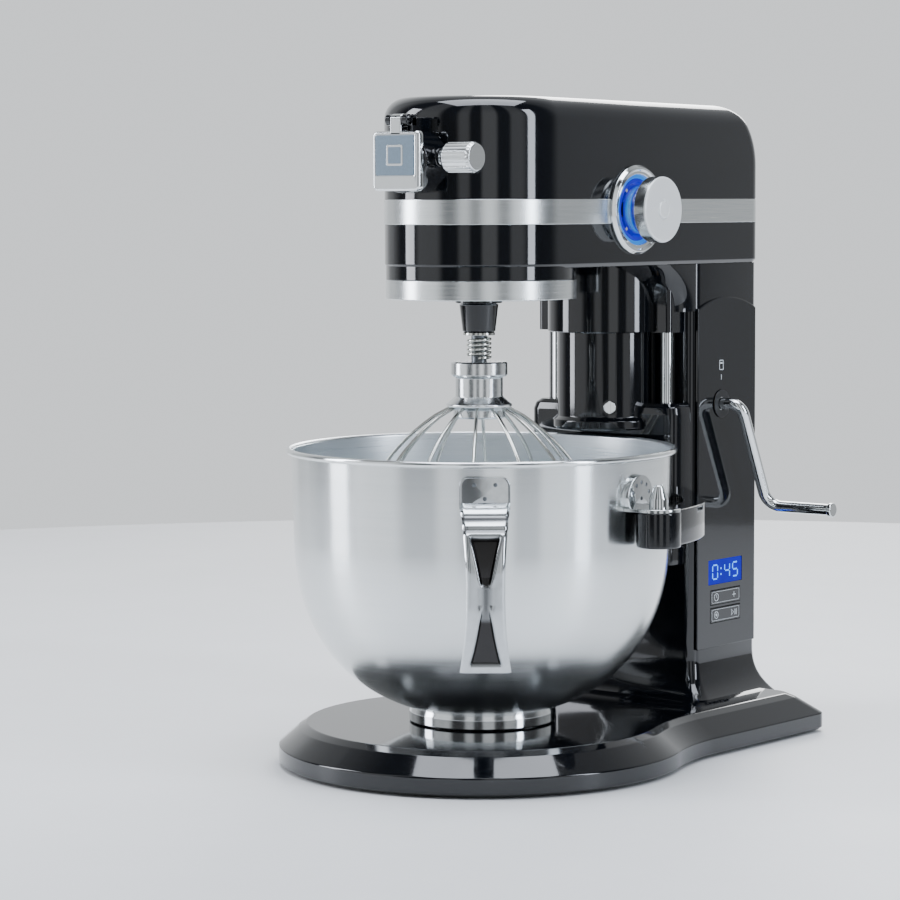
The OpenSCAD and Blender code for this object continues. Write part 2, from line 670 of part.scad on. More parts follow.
module hub_shaft() piece(dark_steel) difference() {
    from_apex([90, 0, 0]) {
        bevel_gear(pinion_teeth, pinion_r, crown_r, 15, 30, pinion_r, 3);
        translate([0, 0, 15]) cylinder(r = 3.5, h = 18);
        translate([0, 0, 29]) cylinder(r = 5, h = 24);
        translate([0, 0, 52.5]) cylinder(r = 9, h = 8);
    }
    box([-4.1, -74, hub_z - 4.1], [4.1, -54.5, hub_z + 4.1]);
}

module hub_cover() piece(chrome) difference() {
    union() {
        translate([0, cover_front_y, hub_z]) rotate([90, 0, 0]) linear_extrude(cover_front_y - cover_y)
            polygon(plan(cover_half, -cover_half, cover_half, 3, 3, 4));
        rod_x([-4.2, hinge_y, hinge_z], 3.6, 8.4);
        box([-4.2, hinge_y - 3.5, hub_z + cover_half - 2], [4.2, hinge_y + 1.4, hinge_z]);
    }
    box([-cover_half + 2.5, cover_y - 1, hub_z - cover_half + 4],
        [cover_half - 3.5, cover_y + inset_depth, hub_z + cover_half - 2.5]);
    rod_x([-10, hinge_y, hinge_z], 1.5 + gap, 20);
}

module hub_cover_inset() piece("#5d6b76") translate([0, cover_y + inset_depth, 0]) rotate([90, 0, 0])
    linear_extrude(inset_depth + 0.2)
    polygon([[-cover_half + 2.6, hub_z - cover_half + 4.1], [cover_half - 3.6, hub_z - cover_half + 4.1],
        [cover_half - 3.6, hub_z + cover_half - 2.6], [-cover_half + 2.6, hub_z + cover_half - 2.6]]);

module hub_hinge_pin() piece(steel) rod_x([-8.8, hinge_y, hinge_z], 1.5, 17.6);

clamp_flutes = 20;
module hub_clamp_knob() piece(alu) {
    rod_x([13.9, clamp_y, hub_z + 2], 2.5, 14);
    difference() {
        union() {
            rod_x([23.5, clamp_y, hub_z + 2], 5, 4);
            rod_x([26.5, clamp_y, hub_z + 2], 8, 2);
            rod_x([28, clamp_y, hub_z + 2], 9.6, 22);
            rod_x([50, clamp_y, hub_z + 2], 8.6, 1);
        }
        for (i = [0:clamp_flutes - 1])
            translate([30, clamp_y, hub_z + 2]) rotate([360 * i / clamp_flutes, 0, 0])
                rod_x([0, 10, 0], 0.9, 18);
    }
}

// ---- speed knob ----

knob_shaft_r = 3;
module on_knob(x) translate([x, knob_y, knob_z]) rotate([0, 90, 0]) children();
module knob_bezel() piece(chrome) on_knob(head_hw - 10) difference() {
    union() {
        cylinder(r = 25, h = 11);
        translate([0, 0, 10.3]) rotate_extrude() polygon([[20, 0], [knob_ring_d / 2, 0],
            [knob_ring_d / 2, 1.4], [knob_ring_d / 2 - 1.8, 3.6], [26.3, 3.6], [25.3, 2.4], [20, 2.4]]);
    }
    translate([0, 0, 3]) cylinder(r = 23, h = 20);
    translate([0, 0, -1]) cylinder(r = knob_shaft_r + 2, h = 20);
}
module light_ring() piece("#2c6cf0") on_knob(head_hw - 7) tube(22.9, 18, 0.1, 8.6);
module speed_encoder() piece("#26282c") on_knob(head_hw - 20) difference() {
    union() {
        translate([-9, -9, 0]) cube([18, 18, 9.9]);
        translate([0, 0, 9]) cylinder(r = knob_shaft_r + 1.9, h = 9);
    }
    translate([0, 0, 5]) cylinder(r = knob_shaft_r + gap, h = 30);
}
module speed_knob() piece(alu) on_knob(head_hw) {
    translate([0, 0, -14]) cylinder(r = knob_shaft_r, h = 20);
    rotate_extrude() polygon([[0, 1.2], [16.5, 1.2], [16.5, 11.5], [knob_d / 2 - 0.6, 12.5], [knob_d / 2, 13.3],
        [knob_d / 2, 21.2], [knob_d / 2 - 1.4, 22.6], [6.3, 22.6], [6.3, 19.5], [0, 19.5]]);
}
module knob_cap() piece(steel) on_knob(head_hw + 19.5) rotate_extrude() polygon([[0, 0], [6.2, 0],
    [6.2, 3], [5.4, 3.6], [0, 3.6]]);

// ---- bowl lift ----

yoke_z0 = 147;
yoke_z1 = 169.5;
pin_x = 139.5;
lobe_r = 14;
yoke_r = 145.5;
yoke_inner_r = 131;
carriage_rear_y = column_front_y - 1.5;
carriage_front_y = 133;
wing_top_z = 226;
nose_r = 34;
screw_z = 223.5;
nose_lip_z = 208;
nose_top_z = 275.5;
module yoke_outline() {
    difference() {
        union() {
            intersection() {
                circle(r = yoke_r, $fn = 128);
                translate([-yoke_r, 0]) square([2 * yoke_r, yoke_r]);
            }
            both_sides() polygon([[0, 100], [yoke_r - 48, 107], [column_hw, carriage_rear_y - 6],
                [column_hw - 4, carriage_rear_y], [0, carriage_rear_y]]);
        }
        circle(r = yoke_inner_r, $fn = 128);
    }
    both_sides() translate([pin_x, 0]) circle(r = lobe_r);
}
module lift_carriage() piece(black) difference() {
    union() {
        translate([0, 0, yoke_z0]) linear_extrude(yoke_z1 - yoke_z0) yoke_outline();
        loft([for (s = [[134, 3], [138, 0], [wing_top_z - 6, 0], [wing_top_z - 2, 1.2], [wing_top_z, 4]])
            at_z(plan(column_hw - s[1], carriage_front_y + s[1], carriage_rear_y, 9, 2), s[0])]);
        intersection() {
            translate([0, drum_y, nose_lip_z]) rotate_extrude($fn = 96) polygon([[0, 0], [36, 0], [37, 1.2],
                [37, 6], [nose_r, 8.5], [nose_r, nose_top_z - nose_lip_z], [0, nose_top_z - nose_lip_z]]);
            box([-60, 60, 200], [60, carriage_rear_y, 300]);
        }
    }
    translate([0, 0, 222]) linear_extrude(60) intersection() {
        translate([0, drum_y]) circle(r = nose_r - 3.5);
        translate([-60, 0]) square([120, carriage_rear_y - 5]);
    }
    both_sides() {
        translate([rail_x, rail_y, 120]) cylinder(r = bush_r + gap, h = 120);
        translate([pin_x, 0, yoke_z0 + 6]) cylinder(r = 4 + gap, h = 40);
    }
    box([-12.1, 145.9, 203.9], [-8.4, 170, 218]);
    box([-26, 143, 150], [26, 170, 200]);
    at_screw() {
        rod_x([nose_r - 2, 0, 0], 5.2, 10);
        rod_x([nose_r - 8, 0, 0], 2.5, 10);
    }
}

bush_r = 6.5;
module carriage_bushes() piece(brass) both_sides() translate([rail_x, rail_y, 0]) {
    tube(bush_r, rail_r + gap, 135, 150);
    tube(bush_r, rail_r + gap, wing_top_z - 18, wing_top_z - 3);
}

module at_screw() translate([0, drum_y, screw_z]) rotate([0, 0, handle_turn - 90]) children();
module height_screw() piece(chrome) at_screw() difference() {
    union() {
        rod_x([nose_r - 6, 0, 0], 2.4, 5);
        rod_x([nose_r - 1.9, 0, 0], 4.2, 1.6);
    }
    box([nose_r - 1.1, -0.6, -6], [nose_r + 4, 0.6, 6]);
}

module bowl_pins() piece(chrome) both_sides() translate([pin_x, 0, 0]) {
    translate([0, 0, yoke_z0 + 7]) cylinder(r = 4, h = 17);
    translate([0, 0, yoke_z1]) cylinder(r = 6, h = 8);
    translate([0, 0, yoke_z1 + 8]) cylinder(r1 = 6, r2 = 2.8, h = 8.5);
}

rack_m = 2;
pinion_n = 22;
lift_r = rack_m * pinion_n / 2;
rack_pitch = PI * rack_m;
rack_line_y = lever_y + lift_r;
rack_teeth_down = 9;
rack_teeth_up = 2;
rack_slack = 0.3;
module lift_rack() piece(steel) {
    translate([-8.4, 0, 0]) rotate([90, 0, 90]) linear_extrude(15) polygon(concat(
        [[rack_line_y + 9, lever_z - (rack_teeth_down + 1) * rack_pitch],
            [rack_line_y + 9, lever_z + (rack_teeth_up + 1) * rack_pitch]],
        [for (i = [rack_teeth_up:-1:-rack_teeth_down], q = [0:3]) let (
            tip = q == 1 || q == 2, side = q < 2 ? 1 : -1,
            h = rack_pitch / 4 - rack_slack / 2 + (tip ? -rack_m : 1.25 * rack_m) * tan(pressure))
            [rack_line_y + (tip ? -rack_m : 1.25 * rack_m), lever_z + i * rack_pitch + side * h]]));
    box([-12, 146, 204], [-8.4, rack_line_y + 9, 218]);
}

module lift_pinion() piece(steel) translate([-7, lever_y, lever_z]) rotate([90, 0, 90])
    spur_gear(pinion_n, rack_m, 180 / pinion_n, 6, 12, slack = rack_slack, hub_r = 11, hub = [11, 20]);

lever_x = 79;
lever_l = 80;
lever_turn = -64.8;
lever_bend = 11;
lever_end_x = 129;
// A quarter turn of the rod about the point p, starting at the angle a
module elbow(p, a) translate(p) rotate([0, 0, a]) rotate_extrude(angle = 90)
    translate([lever_bend, 0]) circle(d = lever_rod_d, $fn = 32);
// Local +Y runs down the lever's arm
module on_lever() translate([0, lever_y, lever_z]) rotate([lever_turn, 0, 0]) children();
module lever_rod() piece(chrome) {
    r = lever_rod_d / 2;
    rod_x([-7, lever_y, lever_z], 6, column_hw + 9);
    on_lever() {
        rod_x([column_hw + 2, 0, 0], r, lever_x - lever_bend - column_hw - 2);
        elbow([lever_x - lever_bend, lever_bend, 0], -90);
        rod_y([lever_x, lever_bend, 0], r, lever_l - 2 * lever_bend);
        elbow([lever_x + lever_bend, lever_l - lever_bend, 0], 90);
        rod_x([lever_x + lever_bend, lever_l, 0], r, lever_end_x - lever_x - lever_bend);
    }
}
module lever_end_cap() piece(chrome) on_lever() rod_x([lever_end_x, lever_l, 0], lever_rod_d / 2 + 0.9, 3);

// ---- bowl ----

bowl_r = rim_r - 3.9;
bowl_low_z = 28;
bulge_z = 150;
bulge = 2.3;
bead_r = 2;
bead_z = bowl_rim_z - bead_r;
// Outside radius of the bowl at the height z, for a wall moved inwards by w
function bowl_radius(z, w) = z >= bulge_z ? bowl_r - 1 - w + (z - bulge_z) / 45
    : (bowl_r - 1 - w) * pow(max(0, 1 - pow((bulge_z - z) / (bulge_z - bowl_low_z - w), bulge)), 1 / bulge);
bowl_steps = 22;
function bowl_curve(w) = concat([[0, bowl_low_z + w]],
    [for (i = [1:bowl_steps])
        let (a = 90 * i / bowl_steps, z = bulge_z - (bulge_z - bowl_low_z - w) * pow(cos(a), 0.9))
        [bowl_radius(z, w), z]], [[bowl_radius(bead_z, w), bead_z]]);
module bowl_solid() rotate_extrude($fn = 128) polygon(concat(bowl_curve(0), [[0, bead_z]]));

module bowl() piece(steel) {
    rotate_extrude($fn = 128) polygon(concat(bowl_curve(0),
        [for (i = [bowl_steps + 1:-1:0]) bowl_curve(bowl_wall)[i]]));
    rotate_extrude($fn = 128) translate([rim_r - bead_r, bead_z]) circle(r = bead_r, $fn = 32);
}

module bowl_foot() piece(steel) difference() {
    tube(bowl_foot_d / 2, bowl_foot_d / 2 - 4, base_h + 0.6, 40);
    bowl_solid();
}

handle_top_z = 178;
handle_low_z = 77;
handle_steps = 22;
// Distance of the handle's strap from the bowl's axis, and its half width, at the share t of the way down
function handle_out(t) = bowl_r + 3 + 26 * (1 - pow(1 - min(t / 0.4, 1), 2.5))
    - 12 * pow(max(0, (t - 0.6) / 0.4), 2);
function handle_half(t) = 11 + 4 * pow(abs(t - 0.5) * 2, 2.2);
module bowl_handle() piece(steel) at_handle() {
    intersection() {
        difference() {
            cylinder(r = bowl_r + 3, h = 300, $fn = 128);
            bowl_solid();
        }
        box([100, -15.7, handle_top_z - 4], [140, 15.7, 194.5]);
    }
    loft([for (i = [0:handle_steps]) let (
        t = i / handle_steps, z = handle_top_z - (handle_top_z - handle_low_z) * t,
        dx = handle_out(t + 0.01) - handle_out(t - 0.01), dz = -(handle_top_z - handle_low_z) * 0.02,
        n = [-dz, dx] / norm([dx, dz]), x = handle_out(t), h = handle_half(t))
        [[x + 1.3 * n[0], -h, z + 1.3 * n[1]], [x - 1.3 * n[0], -h, z - 1.3 * n[1]],
            [x - 1.3 * n[0], h, z - 1.3 * n[1]], [x + 1.3 * n[0], h, z + 1.3 * n[1]]]]);
}

lug_half = 13.7;
lug_z = 178;
module bowl_lugs() piece(chrome) both_sides() {
    intersection() {
        difference() {
            cylinder(r = bowl_r + 3, h = 300, $fn = 128);
            bowl_solid();
        }
        translate([100, 0, 0]) rotate([90, 0, 90]) linear_extrude(40) {
            intersection() {
                translate([0, lug_z]) circle(r = lug_half);
                translate([-lug_half, yoke_z1]) square([2 * lug_half, 40]);
            }
            translate([-lug_half, yoke_z1]) square([2 * lug_half, lug_z - yoke_z1]);
        }
    }
    difference() {
        translate([0, 0, yoke_z1]) linear_extrude(2) difference() {
            union() {
                translate([bowl_r, -lug_half]) square([pin_x - bowl_r, 2 * lug_half]);
                translate([pin_x, 0]) circle(r = lug_half);
            }
            translate([pin_x, 0]) circle(r = 6 + gap);
        }
        bowl_solid();
    }
}

base_casting();
base_plate();
rubber_feet();
base_fasteners();
column_casting();
control_panel();
left_side_cover();
display_module();
control_board();
timer_key();
start_key();
cord_gland();
guide_rails();
lever_bush();
head_casting();
head_top_cover();
upper_trim_band();
lower_trim_ring();
ring_gear();
carrier_bearing();
gear_frame();
motor_can();
motor_armature();
cooling_fan();
drive_shaft();
reduction_wheel();
crown_wheel();
carrier_drum();
carrier_shaft();
tool_bushes();
tool_shaft();
planet_pinion();
tool_socket();
tool_spring();
whisk_collar();
whisk_wires();
hub_housing();
hub_bush();
hub_shaft();
hub_cover();
hub_cover_inset();
hub_hinge_pin();
hub_clamp_knob();
knob_bezel();
light_ring();
speed_encoder();
speed_knob();
knob_cap();
lift_carriage();
carriage_bushes();
lift_rack();
height_screw();
bowl_pins();
lift_pinion();
lever_rod();
lever_end_cap();
bowl();
bowl_foot();
bowl_handle();
bowl_lugs();
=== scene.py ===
"""Looks of a bowl-lift stand mixer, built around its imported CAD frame.

Shapes are worked out in millimetres about the bowl's upright axis, with z from a plane just above the counter
that puts the bowl's rim at RIM_Z, and place() moves them into the frame. The whisk end points along -Y, and the
lever, dial and timer panel are on the +X side.
"""
import json
import math

import bmesh
import bpy
import numpy as np
from mathutils import Matrix, Vector


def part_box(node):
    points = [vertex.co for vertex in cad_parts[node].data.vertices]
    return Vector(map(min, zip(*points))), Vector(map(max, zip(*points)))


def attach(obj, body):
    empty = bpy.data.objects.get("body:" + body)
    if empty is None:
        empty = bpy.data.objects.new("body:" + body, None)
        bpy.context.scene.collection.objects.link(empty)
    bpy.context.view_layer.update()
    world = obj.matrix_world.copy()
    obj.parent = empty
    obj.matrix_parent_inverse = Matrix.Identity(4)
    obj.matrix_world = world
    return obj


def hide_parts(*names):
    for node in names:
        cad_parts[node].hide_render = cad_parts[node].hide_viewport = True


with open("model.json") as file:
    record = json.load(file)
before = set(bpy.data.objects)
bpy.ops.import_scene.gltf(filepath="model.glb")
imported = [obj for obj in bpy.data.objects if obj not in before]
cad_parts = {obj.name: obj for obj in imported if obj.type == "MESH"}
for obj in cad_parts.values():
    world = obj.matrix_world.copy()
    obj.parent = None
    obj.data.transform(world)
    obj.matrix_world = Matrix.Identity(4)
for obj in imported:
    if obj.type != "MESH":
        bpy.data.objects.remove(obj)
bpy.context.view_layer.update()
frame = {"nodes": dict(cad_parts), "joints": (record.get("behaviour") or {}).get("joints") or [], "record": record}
nodes = frame["nodes"]
MM = 0.001


# ---------------------------------------------------------------- places taken from the frame

def middle(node):
    """Middle of a CAD node's box, in millimetres."""
    low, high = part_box(node)
    return (np.array(low) + np.array(high)) / 2 / MM


RIM_Z = 204
AXIS = middle("bowl") * [1, 1, 0] + [0, 0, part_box("bowl")[1][2] / MM - RIM_Z]
JOINTS = {joint["name"]: joint for joint in frame["joints"]}


def span(node, axis):
    """Lowest and highest place of a CAD node along x, y or z, measured like the shapes here."""
    i = "xyz".index(axis)
    low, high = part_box(node)
    return low[i] / MM - AXIS[i], high[i] / MM - AXIS[i]


def pivot(joint):
    """Place of a joint, measured like the shapes here."""
    return np.array(JOINTS[joint]["pos_m"]) / MM - AXIS


def place(points):
    """Points about the bowl's axis, in millimetres, as points of the frame, in metres."""
    return (np.asarray(points, float) + AXIS) * MM


# ---------------------------------------------------------------- curves

def arc(cx, cy, r, start, end, n):
    """Points of a circle round (cx, cy) from one angle to another, in degrees."""
    a = np.radians(np.linspace(start, end, n))
    return np.stack([cx + r * np.cos(a), cy + r * np.sin(a)], -1)


def rounded(corners, radius, n=6, closed=False, support=0.25):
    """A polyline whose corners are arcs of the given radii. A short straight piece is kept at both ends of each
    arc, so that the flats beside it shade flat."""
    p = np.asarray(corners, float)
    radii = np.broadcast_to(radius, len(p))
    out = []
    for i, here in enumerate(p):
        if not closed and i in (0, len(p) - 1):
            out.append(here[None])
            continue
        before, after = p[i - 1] - here, p[(i + 1) % len(p)] - here
        reach = min(np.linalg.norm(before), np.linalg.norm(after))
        u, v = before / np.linalg.norm(before), after / np.linalg.norm(after)
        half = math.acos(np.clip(u @ v, -1, 1)) / 2
        r = min(radii[i], 0.45 * reach * math.tan(half))
        if r < 1e-6 or math.pi / 2 - half < 1e-3:
            out.append(here[None])
            continue
        cut = r / math.tan(half)
        centre = here + (u + v) / np.linalg.norm(u + v) * r / math.sin(half)
        a, b = here + u * cut - centre, here + v * cut - centre
        start = math.atan2(a[1], a[0])
        turn = (math.atan2(b[1], b[0]) - start + math.pi) % (2 * math.pi) - math.pi
        angle = start + turn * np.linspace(0, 1, n)
        bend = centre + r * np.stack([np.cos(angle), np.sin(angle)], -1)
        extra = min(support, 0.04 * reach)
        out.append(np.vstack([here + u * (cut + extra), bend, here + v * (cut + extra)]))
    return np.vstack(out)


def plan(half, y0, y1, front_r, rear_r, n=9):
    """Outline, seen from above, of a rounded rectangle about x = 0, counter-clockwise from its front right."""
    return np.vstack([
        arc(half - front_r, y0 + front_r, front_r, -90, 0, n), arc(half - rear_r, y1 - rear_r, rear_r, 0, 90, n),
        arc(rear_r - half, y1 - rear_r, rear_r, 90, 180, n), arc(front_r - half, y0 + front_r, front_r, 180, 270, n)])


def at_z(outline, z):
    """A flat outline lifted to the height z."""
    return np.column_stack([outline, np.broadcast_to(z, len(outline))])


# ---------------------------------------------------------------- surfaces: each gives (vertices, faces)

def skin(rings, ends="caps"):
    """Quads between neighbouring closed rings. The ends are caps, open, or joined to each other."""
    rings = np.asarray(rings, float)
    m, n = rings.shape[:2]
    index = np.arange(m * n).reshape(m, n)
    run = np.vstack([index, index[:1]]) if ends == "joined" else index
    a, b = run[:-1], run[1:]
    faces = np.stack([a, np.roll(a, -1, 1), np.roll(b, -1, 1), b], -1).reshape(-1, 4).tolist()
    if ends == "caps":
        faces += [index[0, ::-1].tolist(), index[-1].tolist()]
    return rings.reshape(-1, 3), faces


def lathe(profile, centre=(0, 0, 0), n=96, ends="open"):
    """The profile's points (radius, height), lowest outside point first, turned once round an upright axis."""
    profile = np.asarray(profile, float)
    a = np.linspace(0, 2 * np.pi, n, endpoint=False)
    rings = np.stack([np.outer(profile[:, 0], np.cos(a)), np.outer(profile[:, 0], np.sin(a)),
                      np.repeat(profile[:, 1:2], n, 1)], -1)
    return skin(rings + np.asarray(centre, float), ends)


def turned(part, matrix):
    """A surface moved by a 4 by 4 matrix."""
    vertices, faces = part
    m = np.array(matrix)
    return vertices @ m[:3, :3].T + m[:3, 3], faces


def towards_x(part, x, y, z):
    """A surface whose own +Z is turned to +X, with its own origin put at (x, y, z)."""
    return turned(part, Matrix.Translation((x, y, z)) @ Matrix.Rotation(math.pi / 2, 4, "Y"))


def towards_front(part, x, y, z):
    """A surface whose own +Z is turned to -Y, with its own origin put at (x, y, z)."""
    return turned(part, Matrix.Translation((x, y, z)) @ Matrix.Rotation(math.pi / 2, 4, "X"))


def tube(path, radius, across, sides=16, ends="caps"):
    """Circles carried along a path. Across is a direction square to the path, one for all of it or one a point;
    each circle is p + r (cos a * across + sin a * (along x across))."""
    path = np.asarray(path, float)
    along = np.gradient(path, axis=0)
    if ends == "joined":
        along = np.roll(path, -1, 0) - np.roll(path, 1, 0)
    along /= np.linalg.norm(along, axis=1, keepdims=True)
    across = np.broadcast_to(across, path.shape)
    up = np.cross(along, across)
    up /= np.linalg.norm(up, axis=1, keepdims=True)
    a = np.linspace(0, 2 * np.pi, sides, endpoint=False)
    r = np.broadcast_to(radius, len(path))[:, None, None]
    rings = path[:, None] + r * (np.cos(a)[None, :, None] * across[:, None] + np.sin(a)[None, :, None] * up[:, None])
    return skin(rings, ends)


def slab(outline, low, high, edge=0.5, n=5):
    """An outline in XY pulled from z = low to high, whose top edge is rounded over by moving points inwards."""
    outline = np.asarray(outline, float)
    steps = np.linspace(0, np.pi / 2, n)
    levels = [(low, 0.0)] + [(high - edge + edge * np.sin(s), edge * (1 - np.cos(s))) for s in steps]
    levels.append((high, edge + 0.3))
    return skin([at_z(shrunk(outline, inset), z) for z, inset in levels])


def shrunk(outline, inset):
    """A counter-clockwise outline moved inwards by inset along the mean normal of its two edges at each point."""
    before = outline - np.roll(outline, 1, 0)
    after = np.roll(outline, -1, 0) - outline
    before /= np.linalg.norm(before, axis=1, keepdims=True)
    after /= np.linalg.norm(after, axis=1, keepdims=True)
    normal = np.stack([-(before + after)[:, 1], (before + after)[:, 0]], -1)
    normal /= np.linalg.norm(normal, axis=1, keepdims=True)
    across = np.stack([-before[:, 1], before[:, 0]], -1)
    stretch = np.clip((normal * across).sum(1, keepdims=True), 0.3, 1)
    return outline + inset * normal / stretch


def block(x, y, z, edge=0.6):
    """A box with rounded upright edges and a rounded top."""
    corners = [(x[0], y[0]), (x[1], y[0]), (x[1], y[1]), (x[0], y[1])]
    return slab(rounded(corners, edge, 4, True), z[0], z[1], edge * 0.8)


def stroke(points, width, x, closed=False, thick=0.12):
    """A printed line of the given width along points (y, z), raised a hair above a face of constant x."""
    p = np.asarray(points, float)
    along = (np.roll(p, -1, 0) - np.roll(p, 1, 0)) if closed else np.gradient(p, axis=0)
    along /= np.linalg.norm(along, axis=1, keepdims=True)
    side = np.stack([-along[:, 1], along[:, 0]], -1) * width / 2
    left, right = p + side, p - side
    rows = [np.column_stack([np.full(len(p), x + t), q]) for t, q in
            ((0, right), (thick, right), (thick, left), (0, left))]
    return skin(np.stack(rows, 1)[:, ::-1], "joined" if closed else "caps")


# ---------------------------------------------------------------- pieces

def piece(name, body, parts, finish, replaces=(), sharp=38):
    """Joins surfaces into one object on a body, merges their seams and poles, and shades them smooth up to an
    edge angle. A finish may be one material or one for each surface."""
    finishes = finish if isinstance(finish, list) else [finish] * len(parts)
    palette = list(dict.fromkeys(finishes))
    vertices, faces, which, start = [], [], [], 0
    for (v, f), material in zip(parts, finishes):
        vertices.append(v)
        faces += [[i + start for i in face] for face in f]
        which += [palette.index(material)] * len(f)
        start += len(v)
    mesh = bpy.data.meshes.new(name)
    mesh.from_pydata(place(np.vstack(vertices)).tolist(), [], faces)
    mesh.polygons.foreach_set("material_index", which)
    for material in palette:
        mesh.materials.append(material)
    close(mesh, sharp)
    item = bpy.data.objects.new(name, mesh)
    bpy.context.scene.collection.objects.link(item)
    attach(item, body)
    if replaces:
        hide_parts(*replaces)
    return item


def close(mesh, sharp):
    """Merges points that coincide and marks edges sharper than an angle."""
    work = bmesh.new()
    work.from_mesh(mesh)
    bmesh.ops.remove_doubles(work, verts=work.verts, dist=1e-7)
    bmesh.ops.recalc_face_normals(work, faces=work.faces)
    work.to_mesh(mesh)
    work.free()
    mesh.polygons.foreach_set("use_smooth", [True] * len(mesh.polygons))
    mesh.set_sharp_from_angle(angle=math.radians(sharp))
    mesh.update()


def cut(item, *cutters, sharp=38):
    """Takes closed surfaces away from a piece, so that what moves in it has room."""
    for part in cutters:
        tool_mesh = bpy.data.meshes.new("cutter")
        tool_mesh.from_pydata(place(part[0]).tolist(), [], part[1])
        tool = bpy.data.objects.new("cutter", tool_mesh)
        bpy.context.scene.collection.objects.link(tool)
        modifier = item.modifiers.new("cut", "BOOLEAN")
        modifier.operation = "DIFFERENCE"
        modifier.solver = "EXACT"
        modifier.object = tool
        bpy.context.view_layer.update()
        graph = bpy.context.evaluated_depsgraph_get()
        result = bpy.data.meshes.new_from_object(item.evaluated_get(graph))
        item.modifiers.clear()
        item.data = result
        bpy.data.objects.remove(tool)
    close(item.data, sharp)
    return item


# ---------------------------------------------------------------- shader helpers

def linear(colour):
    """An sRGB hex colour as linear red, green, blue and alpha."""
    c = np.array([int(colour[i:i + 2], 16) for i in (1, 3, 5)]) / 255
    return (*np.where(c <= 0.04045, c / 12.92, ((c + 0.055) / 1.055) ** 2.4).tolist(), 1.0)


def add(tree, kind, settings=(), **links):
    """Adds a shader node, sets its properties or inputs from settings, and links its inputs to other outputs.
    An input's name in links has _ for a space."""
    node = tree.nodes.new("ShaderNode" + kind)
    for key, value in dict(settings).items():
        if isinstance(key, int) or key in node.inputs:
            node.inputs[key].default_value = value
        else:
            setattr(node, key, value)
    for key, source in links.items():
        socket = node.inputs[int(key[1:])] if key[1:].isdigit() else node.inputs[key.replace("_", " ")]
        tree.links.new(source, socket)
    return node


def finish(name, settings, build=None):
    """A material with one Principled shader. Build may add nodes and gives the sockets that they feed."""
    material = bpy.data.materials.new(name)
    material.use_nodes = True
    tree = material.node_tree
    tree.nodes.clear()
    links = build(tree) if build else {}
    shader = add(tree, "BsdfPrincipled", settings, **links)
    add(tree, "OutputMaterial", Surface=shader.outputs["BSDF"])
    material.diffuse_color = dict(settings).get("Base Color", (0.5, 0.5, 0.5, 1))
    return material


def grain(tree, scale, detail=3.0, stretch=(1, 1, 1)):
    """Noise on Object coordinates, stretched along the axes; scale is in cells a metre."""
    where = add(tree, "TexCoord").outputs["Object"]
    spread = add(tree, "Mapping", {"Scale": stretch}, Vector=where)
    return add(tree, "TexNoise", {"Scale": scale, "Detail": detail, "Roughness": 0.6},
               Vector=spread.outputs["Vector"]).outputs["Fac"]


def ranged(tree, value, low, high):
    """A value from 0 to 1 spread between low and high."""
    return add(tree, "MapRange", {"To Min": low, "To Max": high}, Value=value).outputs["Result"]


def relief(tree, value, depth, strength=1.0):
    """A bump of the given depth in metres."""
    return add(tree, "Bump", {"Strength": strength, "Distance": depth}, Height=value).outputs["Normal"]


def tinted(tree, value, dark, light):
    """A colour between two hex colours."""
    mix = add(tree, "Mix", {"data_type": "RGBA", 6: linear(dark), 7: linear(light)}, _0=value)
    return mix.outputs[2]


# ---------------------------------------------------------------- finishes

def black_enamel():
    """Piano-black enamel on die-cast aluminium: a deep, faintly blue black under a hard clear gloss, with the
    slight waviness of a sprayed coat, about one wave in 12 mm."""
    def build(tree):
        wave = grain(tree, 85, 2)
        tone = grain(tree, 14, 2)
        return {"Base_Color": tinted(tree, tone, "#05070a", "#0a0d13"), "Roughness": ranged(tree, tone, 0.05, 0.09),
                "Normal": relief(tree, wave, 0.00003, 0.35)}
    return finish("piano_black_enamel", {"IOR": 1.48, "Coat Weight": 0.35, "Coat Roughness": 0.03}, build)


def satin_black():
    """Moulded black nylon: dull, with a fine spark-eroded grain drawn at 0.8 mm so that it shows."""
    def build(tree):
        spark = grain(tree, 1250, 2)
        return {"Base_Color": tinted(tree, spark, "#101113", "#17181b"), "Roughness": ranged(tree, spark, 0.32, 0.5),
                "Normal": relief(tree, spark, 0.00004, 0.5)}
    return finish("moulded_black_nylon", {"IOR": 1.53}, build)


def brushed_band_steel():
    """Stainless strip brushed along its length: lines lie level round the head, drawn 0.7 mm apart."""
    def build(tree):
        lines = grain(tree, 1.0, 3, (28, 28, 1400))
        cloud = grain(tree, 30, 2)
        return {"Base_Color": tinted(tree, lines, "#d5dadb", "#f0f3f3"), "Roughness": ranged(tree, lines, 0.2, 0.3),
                "Normal": relief(tree, cloud, 0.00002, 0.3)}
    return finish("brushed_stainless_strip", {"Metallic": 1.0}, build)


def bowl_outside_steel():
    """Stainless bowl, buffed outside along level lines, which draw every reflection out into an upright band."""
    def build(tree):
        lines = grain(tree, 1.0, 3, (9, 9, 700))
        level = add(tree, "Tangent", {"direction_type": "RADIAL", "axis": "Z"}).outputs["Tangent"]
        return {"Base_Color": tinted(tree, lines, "#dfe4e5", "#eef1f1"), "Roughness": ranged(tree, lines, 0.15, 0.22),
                "Normal": relief(tree, lines, 0.000006, 0.35), "Tangent": level}
    return finish("buffed_stainless", {"Metallic": 1.0, "Anisotropic": 0.92, "Anisotropic Rotation": 0.25}, build)


def bowl_inside_steel():
    """Inside of the bowl, turned with a fine abrasive: rings of satin lines."""
    def build(tree):
        lines = grain(tree, 1.0, 3, (10, 10, 900))
        return {"Base_Color": tinted(tree, lines, "#dbe2e6", "#edf1f4"), "Roughness": ranged(tree, lines, 0.24, 0.34),
                "Normal": relief(tree, lines, 0.00001, 0.35)}
    return finish("satin_stainless", {"Metallic": 1.0}, build)


